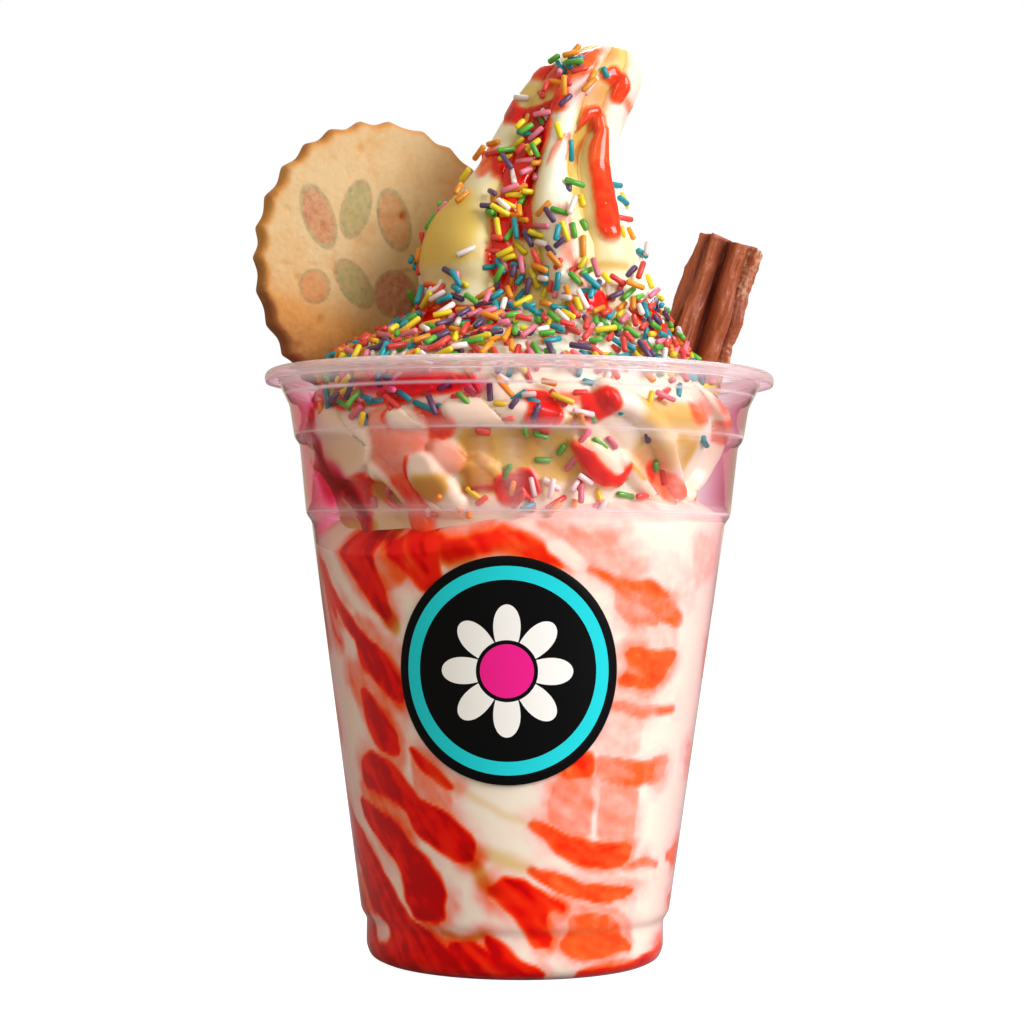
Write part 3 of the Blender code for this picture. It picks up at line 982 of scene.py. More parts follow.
@dataclass
class Cup:
    """The clear cup: one wall line spun round the axis."""

    wall: float = 0.6
    rim_radius: float = 49.0
    rim_top: float = 112.7
    roll_radius: float = 1.35
    roll_span: Point = (-25.0, 215.0)
    roll_points: int = 15
    neck_radius: float = 43.9
    neck_top: float = 106.0
    rings: tuple[Point, ...] = ((39.5, 84.6), (41.9, 99.2))
    ring_step: Point = (1.0, 1.2)
    foot_radius: float = 28.2
    foot_top: float = 8.2
    foot_step: Point = (1.1, 1.7)
    foot_round: tuple[Point, ...] = ((-2.6, 0.3), (-0.7, 1.2), (0.0, 3.0))
    punt_radius: float = 19.5
    punt_slope: float = 3.0
    punt_height: float = 1.5
    corner: float = 0.7  # how far a rounding takes off each side of a corner
    corner_most: float = 0.45  # and the share of a side that it takes at most
    corner_steps: int = 4
    step: float = 1.4  # longest step along the wall line
    columns: int = 200
    # Heights where the side stain and painted pink glow fade in and out.
    stain_and_glow_band: Band = (78.0, 86.0, 106.0, 110.0)
    rim_haze: float = 0.36
    rim_haze_starts: Point = (108.6, 109.8)
    # Heights where the painted highlight streaks run.
    streak_band: Band = (86.5, 88.5, 97.0, 99.5)

    # Where syrup has run down inside the wall.
    RUNS = (
        Stroke(SAUCE, 1, 0.9, (-59, 106, 0.6, -63, 101, 1.3, -62, 95, 1.7, -56, 91, 1.5, -48, 88.5, 1.2,
             -44, 85, 1.5)),
        Mark(SAUCE, 0.82, 1.8, (-67, 95, -54, 94, -48, 89, -60, 86)),
        Stroke(SAUCE, 0.9, 1, (-80, 107, 1, -84, 98, 1.5, -82, 90, 1.5, -84, 80, 1.5)),
        Stroke(SAUCE, 0.7, 1.2, (80, 107, 0.8, 84, 98, 1.2, 86, 90, 1)),
        Stroke(SAUCE, 0.62, 1.6, (-40, 107.6, 1.2, -25, 107.8, 1.6, -8, 107.4, 1)),
    )

    # How the sides are pink, partly syrup stain and partly a painted pink glow of the filling seen through
    # the slanting wall: bearing, spread, depth and what is added above the ledge.
    SIDE_STAINS_AND_GLOW = ((-96.0, 27.0, 0.18, 0.6), (94.0, 22.0, 0.1, 0.34))

    # Painted highlights: rings over the ridges, with height, reach and depth, and upright streaks, with
    # bearing, reach and depth.
    PAINTED_HIGHLIGHT_RINGS = ((100.6, 0.8, 0.26), (85.6, 1.2, 0.3))
    PAINTED_HIGHLIGHT_STREAKS = ((-9.0, 1.6, 0.16), (-1.5, 2.2, 0.22), (6.5, 1.5, 0.12), (44.0, 2.5, 0.14))

    def sharp_line(self) -> list[Point]:
        """The middle line of the wall with sharp corners.

        Returns:
            Radius and height of each corner, from the axis to the rim's end.
        """
        half = self.wall / 2
        line = [(0.0, self.punt_height), (self.punt_radius, self.punt_height)]
        line.append((self.punt_radius + self.punt_slope, half))
        line += [(self.foot_radius + out, height) for out, height in self.foot_round]
        line.append((self.foot_radius, self.foot_top))
        line.append((self.foot_radius + self.foot_step[0], self.foot_top + self.foot_step[1]))
        for radius, height in self.rings:
            line.append((radius, height - self.ring_step[1] / 2))
            line.append((radius + self.ring_step[0], height + self.ring_step[1] / 2))
        line.append((self.neck_radius, self.neck_top))
        radius, height = self.rim_radius - half - self.roll_radius, self.rim_top - half - self.roll_radius
        for angle in np.radians(np.linspace(*self.roll_span, self.roll_points)):
            out, up = self.roll_radius * math.cos(angle), self.roll_radius * math.sin(angle)
            line.append((radius - out, height + up))
        return line

    def line(self) -> Array:
        """The middle line of the wall with rounded corners.

        Returns:
            A row of radius and height for each point.
        """
        sharp = np.array(self.sharp_line())
        made = [sharp[0]]
        for before, here, after in zip(sharp, sharp[1:], sharp[2:]):
            back, ahead = before - here, after - here
            back_length, ahead_length = np.linalg.norm(back), np.linalg.norm(ahead)
            start = here + back / back_length * min(self.corner, self.corner_most * back_length)
            end = here + ahead / ahead_length * min(self.corner, self.corner_most * ahead_length)
            for share in np.linspace(0.0, 1.0, self.corner_steps):
                low = start + (here - start) * share
                made.append(low + (here + (end - here) * share - low) * share)
        made.append(sharp[-1])
        fine = []
        for a, b in zip(made, made[1:]):
            count = max(1, round(float(np.linalg.norm(b - a)) / self.step))
            fine += [a + (b - a) * share for share in np.arange(count) / count]
        return np.array(fine + made[-1:])

    def offset(self, distance: float) -> Array:
        """The rounded line, moved into the cup.

        Args:
            distance: How far, in millimetres.

        Returns:
            A row for each point.
        """
        line = self.line()
        along = np.gradient(line, axis=0)
        along /= np.linalg.norm(along, axis=1)[:, None]
        return line + distance * np.stack((-along[:, 1], along[:, 0]), axis=1)

    def __post_init__(self) -> None:
        """Keeps the inner side of the upright wall."""
        radius, level = self.offset(self.wall / 2).T
        upright = (level > 1.0) & (level < self.neck_top + 3.0) & (radius > self.foot_radius - 3.0)
        self.inside = level[upright], radius[upright]

    def inner_radius(self, height: Array) -> Array:
        """Radius of the wall's inner side at a height above the foot."""
        return np.interp(height, *self.inside)

    def stain_and_glow(self, bearing: Array, level: Array) -> Array:
        """How pink the wall is: runs of syrup, and at both sides syrup stain with a painted pink glow of
        the filling, most on the left above the ledge.

        Args:
            bearing: The corners' bearings.
            level: Their heights.

        Returns:
            A share from 0 to 1 for each.
        """
        above = within(self.stain_and_glow_band, level)
        total = np.zeros(len(level))
        for middle, spread, depth, more in self.SIDE_STAINS_AND_GLOW:
            total += np.exp(-((bearing_off(bearing, middle) / spread) ** 2)) * (depth + more * above)
        run = lay(self.RUNS, bearing, level, np.full(len(level), math.radians(self.neck_radius)))
        return np.clip(np.maximum(total, run[SAUCE]), 0.0, 1.0)

    def smears_and_highlights(self, bearing: Array, level: Array) -> Array:
        """How white the wall is clouded: the rim, and painted highlights as a line over each ring and some
        upright streaks, less towards the back below the neck.

        Args:
            bearing: The corners' bearings.
            level: Their heights.

        Returns:
            A share from 0 to 1 for each.
        """
        total = self.rim_haze * fade(*self.rim_haze_starts, level)
        for height, reach, depth in self.PAINTED_HIGHLIGHT_RINGS:
            total += depth * np.exp(-(((level - height) / reach) ** 2))
        between = within(self.streak_band, level)
        for middle, reach, depth in self.PAINTED_HIGHLIGHT_STREAKS:
            total += depth * between * np.exp(-(((bearing - middle) / reach) ** 2))
        return total * np.where(level > self.neck_top, 1.0, 0.75 + 0.25 * np.cos(np.radians(bearing)))

    def build(self, finish: bpy.types.Material) -> None:
        """Draws the wall line, spins it and gives it its thickness.

        Args:
            finish: The wall's material.
        """
        deselect()
        bpy.ops.mesh.primitive_plane_add(size=MM)
        cup = new_piece("clear_cup")
        bpy.ops.object.mode_set(mode="EDIT")
        bpy.ops.mesh.select_all(action="SELECT")
        bpy.ops.mesh.merge(type="CENTER")
        line = self.line()
        bpy.ops.transform.translate(value=(line[0][0] * MM, 0.0, line[0][1] * MM))
        for out, up in np.diff(line, axis=0):
            bpy.ops.mesh.extrude_region_move(TRANSFORM_OT_translate={"value": (out * MM, 0.0, up * MM)})
        bpy.ops.mesh.select_all(action="SELECT")
        bpy.ops.mesh.spin(steps=self.columns, angle=2 * math.pi, center=(0, 0, 0), axis=(0, 0, 1))
        bpy.ops.mesh.select_all(action="SELECT")
        bpy.ops.mesh.remove_doubles(threshold=0.01 * MM)
        bpy.ops.mesh.normals_make_consistent(inside=False)
        bpy.ops.object.mode_set(mode="OBJECT")
        apply_modifier(cup, "SOLIDIFY", thickness=self.wall * MM, offset=0.0, use_even_offset=True)
        x, y, level = (corners_of(cup) / MM).T
        bearing = np.degrees(np.arctan2(x, -y))
        # Syrup stain with the painted pink glow, then the clouded rim and the painted highlights.
        paint(cup, "blush", self.stain_and_glow(bearing, level))
        # The clouded rim and the painted highlights.
        paint(cup, "haze", self.smears_and_highlights(bearing, level))
        dress(cup, finish, "clear_plastic", "cup")


# ------------------------------------------------------------------ the soft serve in the cup


FRONT_CROWD = 0.35  # a skin's columns stand this much closer at the front, where marks are finest


@dataclass
class Filling:
    """The marbled soft serve that fills the cup up to a sloping ledge."""

    cup: Cup
    noise: Noise
    sink: float = 0.12  # how far it reaches into the wall
    spread: float = 0.45  # how far its marks have run
    back_turns: Point = (192.0, 264.0)
    side_marks: int = 6  # marks at the head of the list that the back does without
    ledge: float = 84.2
    ledge_drop: float = 7.0
    ledge_low: float = -45.0
    ledge_rise: float = 5.0  # from the wall to the foot of the drawn-in part
    ledge_foot: float = 33.0  # and the radius there
    ledge_share: float = 0.16  # share of the rows that lie on the ledge
    ledge_lumps: float = 0.8
    ledge_haze: float = 0.3
    columns: int = 440
    rows: int = 216
    film: Point = (0.12, 0.56)  # how thick a film is at least, and how much more where it is thickest
    streak_slopes: tuple[Point, ...] = ((-60.0, -48.0), (20.0, -28.0), (60.0, -12.0))  # bearing, slope
    streak_radius: float = 36.0

    # Fine streaks: length, width, strength and layer in the noise.
    STREAKS = ((9.0, 1.7, 1.0, 0.0), (4.0, 0.8, 0.5, 9.0))

    MARKS = (
        # The sides: sauce streaks, which also stand in for the crimson that the wall's slanting edge shows,
        # and a painted pink glow along both edges.
        Stroke(SAUCE, 0.9, 1.2, (-104, 86, 1.5, -93, 76, 3, -85, 68, 2.6, -79, 61, 1.2)),
        Stroke(SAUCE, 0.92, 1.2, (-108, 68, 1.5, -94, 57, 3, -86, 49, 3, -79, 43, 1.4)),
        Stroke(SAUCE, 0.95, 1.2, (-110, 50, 2, -96, 39, 3.6, -86, 29, 4, -80, 21, 3)),
        Stroke(SAUCE, 0.95, 1.2, (-112, 30, 2, -98, 20, 4.5, -86, 13, 5.5, -78, 8, 5)),
        Stroke(BLUSH, 0.45, 3.5, (-90, 86, 5, -90, 50, 5, -90, 20, 7, -88, 4, 7)),
        Stroke(BLUSH, 0.22, 2, (90, 86, 3, 90, 10, 3)),
        # The left half, from the ledge down.
        Mark(SAUCE, 0.95, 0.6, (-58, 84, -48, 84, -45, 79, -44, 75, -40, 70.5, -38.3, 66, -43, 68.3,
             -49, 72.3, -55, 76.3, -59, 80)),
        Mark(SAUCE, 0.52, 1.2, (-46, 81, -34, 80.5, -29, 76, -34, 73, -40, 71, -44.5, 74)),
        Mark(SAUCE, 0.86, 0.7, (-44, 80.5, -38, 79.5, -34, 82, -26, 83.5, -23, 78.5, -21.5, 72, -26, 71.8,
             -31, 74, -38, 77)),
        # Painted shade, amber, in the hollow under the ledge and in a small dent below it.
        Mark(CREASE, 1, 0.7, (-50, 84.6, -40.5, 84.6, -41, 80.6, -46, 80.2, -49.5, 81.5)),
        Mark(CREASE, 0.7, 0.5, (-41.5, 69, -39, 68, -35.5, 64.5, -36.5, 64, -40, 66)),
        Mark(SAUCE, 0.75, 0.6, (-78, 77, -70, 75, -65, 69, -66, 65, -72, 70)),
        Stroke(SAUCE, 0.7, 0.5, (-73, 70, 0.5, -70, 64, 0.7, -65, 61, 0.4)),
        Mark(SAUCE, 0.98, 0.6, (-74, 75, -65, 70, -57, 65.8, -50.5, 62.3, -44, 60, -38.8, 55.5, -36.3, 51,
             -41, 51.2, -47, 54, -52.5, 57, -53, 61, -60, 65.2, -68, 69.8)),
        Mark(SAUCE, 0.4, 1.6, (-54, 66.5, -44, 65, -37.5, 60, -37.5, 55, -43, 59, -50, 62)),
        Mark(SAUCE, 0.46, 1.6, (-62, 58, -52, 56, -42, 50.5, -37.5, 45, -38, 38, -45, 36, -48, 41, -53, 47,
             -62, 53)),
        Mark(SAUCE, 0.96, 0.6, (-54, 52.5, -47.5, 49.5, -41, 46, -40, 41.2, -45.5, 40.8, -50.5, 44,
             -52.5, 48.5)),
        Mark(SAUCE, 0.98, 0.6, (-59, 39.6, -52, 41, -45, 38.6, -38, 35, -34, 33, -29, 31.6, -22, 29.4,
             -14.5, 25.8, -13.5, 22, -18, 22, -26, 24, -34, 27, -37.5, 30.6, -44, 33, -52, 34.6,
             -58, 35.5)),
        Mark(SAUCE, 0.5, 1.4, (-62, 36, -52, 35, -44, 32, -37, 29, -34, 22, -44, 25, -58, 30.5)),
        Mark(SAUCE, 0.4, 0.7, (-33.5, 42.5, -27, 40.8, -21.8, 37, -22.6, 29, -30, 30, -34, 33)),
        Stroke(SAUCE, 0.85, 0.5, (-34, 42, 0.3, -30.5, 40, 1.1, -27, 38.2, 1.1, -21.5, 35.8, 0.4)),
        Mark(SAUCE, 0.98, 0.6, (-62, 32, -54.5, 31.3, -45, 28.4, -38.5, 24.5, -28.5, 20.4, -25, 14.5,
             -27, 10.6, -36, 10.6, -41.5, 15, -42.5, 19.8, -51.5, 24.2, -60, 29)),
        Mark(SAUCE, 1, 0.6, (-82, 33, -72, 27, -61, 23, -53.5, 18.4, -46, 13.4, -40, 9.8, -32, 6.8, -24, 3,
             -50, 1.5, -62, 8, -66.5, 15, -74, 21, -84, 28)),
        Mark(SAUCE, 1, 0.8, (-94, 9.5, -76, 9, -62, 9, -50, 8.4, -40, 8.8, -32, 6, -25, 4.8, -17, 1.8,
             -4, 1.2, -4, -3, -94, -3)),
        Mark(CREAM, 0.8, 0.5, (-67, 9.6, -58.5, 9.2, -57, 6.2, -64, 6)),
        Mark(SAUCE, 0.9, 0.5, (-26, 5.6, -18, 6.7, -10, 5.3, -4, 3.8, -1, 1.6, -8, 1.4, -18, 2.2)),
        Mark(SAUCE, 0.97, 0.5, (-11, 8.4, -5, 6.8, 1, 4.4, 7, 2.4, 10, 0.6, 0, 0.2, -4, 2.6)),
        Stroke(SAUCE, 1, 0.6, (-24, 1.2, 1.4, -8, 0.6, 1.2, 8, 0.3, 0.8)),
        # Painted shade in thin lines and a wedge where the cream bands meet.
        Stroke(CREASE, 0.24, 0.8, (-27, 37.5, 0.2, -14, 34, 0.3, 4, 29.5, 0.2)),
        Stroke(CREASE, 0.62, 0.9, (-15.5, 22.8, 0.5, -12.2, 20, 0.9, -8.5, 16.4, 0.5)),
        Stroke(CREASE, 0.36, 1.2, (-15, 23.8, 0.8, -8, 22.9, 1.1, -1, 21.6, 0.9, 5, 20.4, 0.4)),
        Stroke(CREASE, 0.6, 0.5, (-27, 8.2, 0.15, -18, 7.5, 0.3, -11, 8.6, 0.2)),
        Mark(SAUCE, 0.88, 0.5, (-9.5, 16.4, -5, 18, 1, 18, 4.5, 16.3, 10, 14.6, 18, 12.8, 10.5, 12.9, 9, 11,
             13, 7.6, 7.5, 7.4, 2, 10.6, -4, 13.8)),
        Mark(SAUCE, 0.36, 1.2, (3, 16, 18, 13.6, 16, 10, 12, 9, 8, 12)),
        # Round the top of the label.
        Mark(SAUCE, 0.84, 1.4, (-26, 81, -17, 80, -6, 82, 2, 80.5, 8, 78.6, 15, 76, 9, 75.5, 0, 77.4,
             -12, 78, -20, 76)),
        # Painted shade in a small hollow.
        Mark(CREASE, 0.55, 0.8, (-21.5, 79, -14, 79.5, -12, 77, -20, 75.5)),
        # The right half, where the film is thin and the light comes through. Here the sauce is also laid
        # paler than on the left as painted light, for the lamp on this side.
        Mark(SAUCE, 0.34, 2, (5, 83, 14, 82.5, 29, 83, 28, 79.4, 20, 78.8, 12, 79.6)),
        Mark(SAUCE, 0.3, 1.4, (14, 79.5, 29, 79, 40, 76, 34, 73.6, 24, 74.6, 17, 76.4)),
        Mark(SAUCE, 0.16, 2, (34, 78, 60, 76, 62, 66, 44, 71)),
        Mark(CREAM, 0.9, 0.6, (8, 79.3, 12, 79.6, 16, 77.6, 18, 75.4, 13, 76.4)),
        Mark(SAUCE, 0.54, 1, (18, 75.8, 29, 73.4, 38, 72.6, 44.5, 70.8, 50, 68.8, 55, 66, 52.5, 64.8,
             46, 66, 40, 67, 33, 69.6, 28.5, 72)),
        Mark(SAUCE, 0.44, 0.7, (29, 71.5, 34, 69.6, 44, 66.4, 42, 64.8, 34, 65.4, 29.5, 68)),
        Mark(SAUCE, 0.2, 1, (33.5, 66, 53, 66, 53, 60, 34.5, 60)),
        Mark(SAUCE, 0.6, 0.45, (32.5, 60.6, 43, 59.6, 54, 60, 49.5, 56.8, 46, 53.8, 38, 53.9, 30.5, 54.4,
             35.2, 57)),
        Mark(SAUCE, 0.2, 1, (30, 54, 44, 54, 44, 49, 30, 50)),
        Stroke(SAUCE, 0.46, 0.5, (29, 50.2, 0.6, 38, 49.8, 1, 48, 49.2, 0.7, 56, 49, 0.3)),
        Mark(SAUCE, 0.24, 0.9, (26, 50, 42, 48.5, 41, 41, 25.5, 41)),
        Mark(SAUCE, 0.7, 0.45, (14, 41.6, 20, 41.4, 24.8, 40.8, 24.8, 37.6, 18, 37.8, 14, 38.6)),
        Mark(SAUCE, 0.5, 0.6, (26.6, 41, 34, 40.4, 43, 40, 50, 39.6, 49, 36.6, 40, 36.4, 27, 37)),
        Mark(SAUCE, 0.44, 0.8, (48, 40.4, 57, 40, 55, 36, 48, 36.2)),
        Mark(SAUCE, 0.42, 0.5, (12, 38.6, 24.4, 38, 24, 25.8, 11.5, 27.6)),
        Mark(SAUCE, 0.38, 0.5, (28.8, 37.6, 43, 37, 43, 25, 28.4, 25.6)),
        Mark(SAUCE, 0.66, 0.5, (4.5, 29.9, 11, 27.9, 18, 26.2, 28, 25.6, 42.5, 25, 41, 21.4, 30, 21.8,
             20, 22.5, 12.5, 24.4, 8.5, 27.3)),
        Mark(SAUCE, 0.3, 1.2, (6, 20.5, 22, 19, 42, 18.6, 52, 16.5, 44, 13.6, 24, 14.4)),
        Mark(SAUCE, 0.64, 0.5, (4, 20.5, 14, 19.2, 22, 18, 32, 17.4, 47, 15.6, 40, 14.8, 30, 15.2, 18, 16,
             9, 18)),
        Mark(SAUCE, 0.36, 1.2, (16, 13.5, 30, 14, 44, 11, 53, 6, 40, 3.6, 24, 3.2, 15.5, 6)),
        Mark(SAUCE, 0.6, 0.6, (20, 11.4, 28, 12.2, 36, 11, 41, 8.6, 52, 5.4, 38, 5.2, 28, 3.9, 20, 5,
             17.2, 7.4, 20.5, 9.4)),
        Stroke(SAUCE, 0.45, 0.6, (40, 20.6, 0.4, 50, 20.8, 0.8, 58, 20.2, 0.4)),
        Mark(SAUCE, 0.6, 0.7, (64, 21.6, 78, 22.8, 92, 23, 92, 20, 76, 19.6)),
        Mark(SAUCE, 0.5, 0.8, (74, 13, 92, 13.5, 92, 10.6, 78, 11)),
        Mark(SAUCE, 0.3, 1.4, (70, 43, 92, 41, 92, 35, 74, 36)),
        Mark(SAUCE, 0.3, 1.2, (76, 62, 92, 62, 92, 54, 80, 55)),
        Mark(SAUCE, 0.22, 1.6, (56, 82, 74, 80, 76, 74, 58, 72)),
        Mark(SAUCE, 0.9, 0.7, (26, 1.6, 45, 1.6, 62, 2.8, 80, 3.4, 80, 0, 26, 0)),
    )

    def ledge_height(self, bearing: Array) -> Array:
        """Height of the ledge at the wall."""
        low = 0.5 + 0.5 * np.cos(np.radians(bearing - self.ledge_low))
        return self.ledge - self.ledge_drop * low**4

    def back_marks(self) -> list[Mark]:
        """The left half's marks once more, round the sides that the front doesn't show."""
        left = [mark for mark in self.MARKS[self.side_marks :] if mark.rows()[:, 0].max() < -3.0]
        return [mark.turned(turn) for turn in self.back_turns for mark in left]

    def corners(self, bearing: Array, share: Array) -> Array:
        """Places of the skin's corners, up the wall and in over the ledge.

        Args:
            bearing: The corners' bearings.
            share: Their shares of the way from the base's middle to the ledge's.

        Returns:
            A row for each corner.
        """
        outline = self.cup.offset(self.cup.wall / 2 - self.sink)
        outline = outline[outline[:, 1] < self.ledge + 4.0]
        outline[0, 0] = 0.0
        way = np.concatenate(((0.0,), np.cumsum(np.linalg.norm(np.diff(outline, axis=0), axis=1))))
        ledge = self.ledge_height(bearing)
        upright = outline[:, 1] > self.cup.foot_top
        ledge_way = np.interp(ledge, outline[upright, 1], way[upright])
        on_wall = np.clip(share / (1.0 - self.ledge_share), 0.0, 1.0)
        travel = on_wall * ledge_way
        radius = np.interp(travel, way, outline[:, 0])
        height = np.interp(travel, way, outline[:, 1])
        inward = np.clip((share - 1.0 + self.ledge_share) / self.ledge_share, 0.0, 1.0)
        reach = radius * (1.0 - inward**1.4)
        climb = np.clip((radius - reach) / (radius - self.ledge_foot), 0.0, 1.0)
        made = round_axis(reach, np.radians(bearing), height)
        made[:, 2] += np.where(inward > 0, self.ledge_rise * climb**0.8, 0.0)
        inner = np.clip((self.ledge_foot - reach) / self.ledge_foot, 0.0, 1.0)
        made[:, 2] += (self.ledge - made[:, 2]) * np.where(inward > 0, inner, 0.0)
        lumps = self.ledge_lumps * self.noise.at(made, 5.0) * np.sin(math.pi * inward)
        made[:, 2] += np.where(inward > 0, lumps, 0.0)
        return made

    def streaks(self, bearing: Array, height: Array) -> Array:
        """Fine streaks that follow the swirl of the filling round the wall.

        Args:
            bearing: The corners' bearings.
            height: Their heights.

        Returns:
            About -1.5 to 1.5 for each.
        """
        slope = np.radians(np.interp(bearing, *zip(*self.streak_slopes)))
        round_way = np.radians(bearing) * self.streak_radius
        along = round_way * np.cos(slope) + height * np.sin(slope)
        across = height * np.cos(slope) - round_way * np.sin(slope)
        total = np.zeros(len(height))
        for length, width, strength, layer in self.STREAKS:
            places = np.stack((along / length, across / width, layer + 0.0 * along), axis=1)
            total += strength * self.noise.at(places, 1.0)
        return total

    def build(self, finish: bpy.types.Material) -> None:
        """Builds the filling and lays its marbling.

        Args:
            finish: The material of soft serve that clings to the cup.
        """
        made, bearing, share = wrapped_skin("marbled_filling", self.columns, self.rows, FRONT_CROWD)
        corners = self.corners(bearing, share)
        height = corners[:, 2]
        arc = np.maximum(0.05, np.radians(np.hypot(corners[:, 0], corners[:, 1])))
        across, up = self.noise.shifts(corners, (0.9, 8.0), (0.4, 2.4))
        clouds = np.clip(0.5 + 1.2 * self.noise.at(corners + 7.0, 7.0), 0.0, 1.0)
        film = self.film[0] + self.film[1] * clouds
        marks = self.MARKS + tuple(self.back_marks())
        laid = lay(marks, bearing + across / np.maximum(arc, 0.2), height + up, arc, film, self.spread)
        streaks = self.streaks(bearing, height)
        sauce = laid[SAUCE] * (1.0 + 0.15 * streaks) + 0.015 * np.maximum(0.0, streaks)
        haze = self.ledge_haze * fade(80.0, 88.0, height) * (0.6 + 0.4 * self.noise.at(corners, 3.0))
        on_ledge = haze * (share > 1.0 - self.ledge_share)
        sauce = np.maximum(np.clip(sauce, 0.0, 1.0), on_ledge)
        # Sauce, painted shade and the painted pink glow, for the finish to read.
        inks = {"sauce": sauce, "crease": laid[CREASE], "blush": laid[BLUSH]}
        settle(made, corners, finish, "soft_serve", **inks)


# ------------------------------------------------------------------ the soft serve above the ledge


@dataclass(frozen=True)
class Ridge:
    """A rope of piped soft serve up the peak: its bearing and half width, and its twist per mm."""

    bearing: float
    spread: float
    twist: float


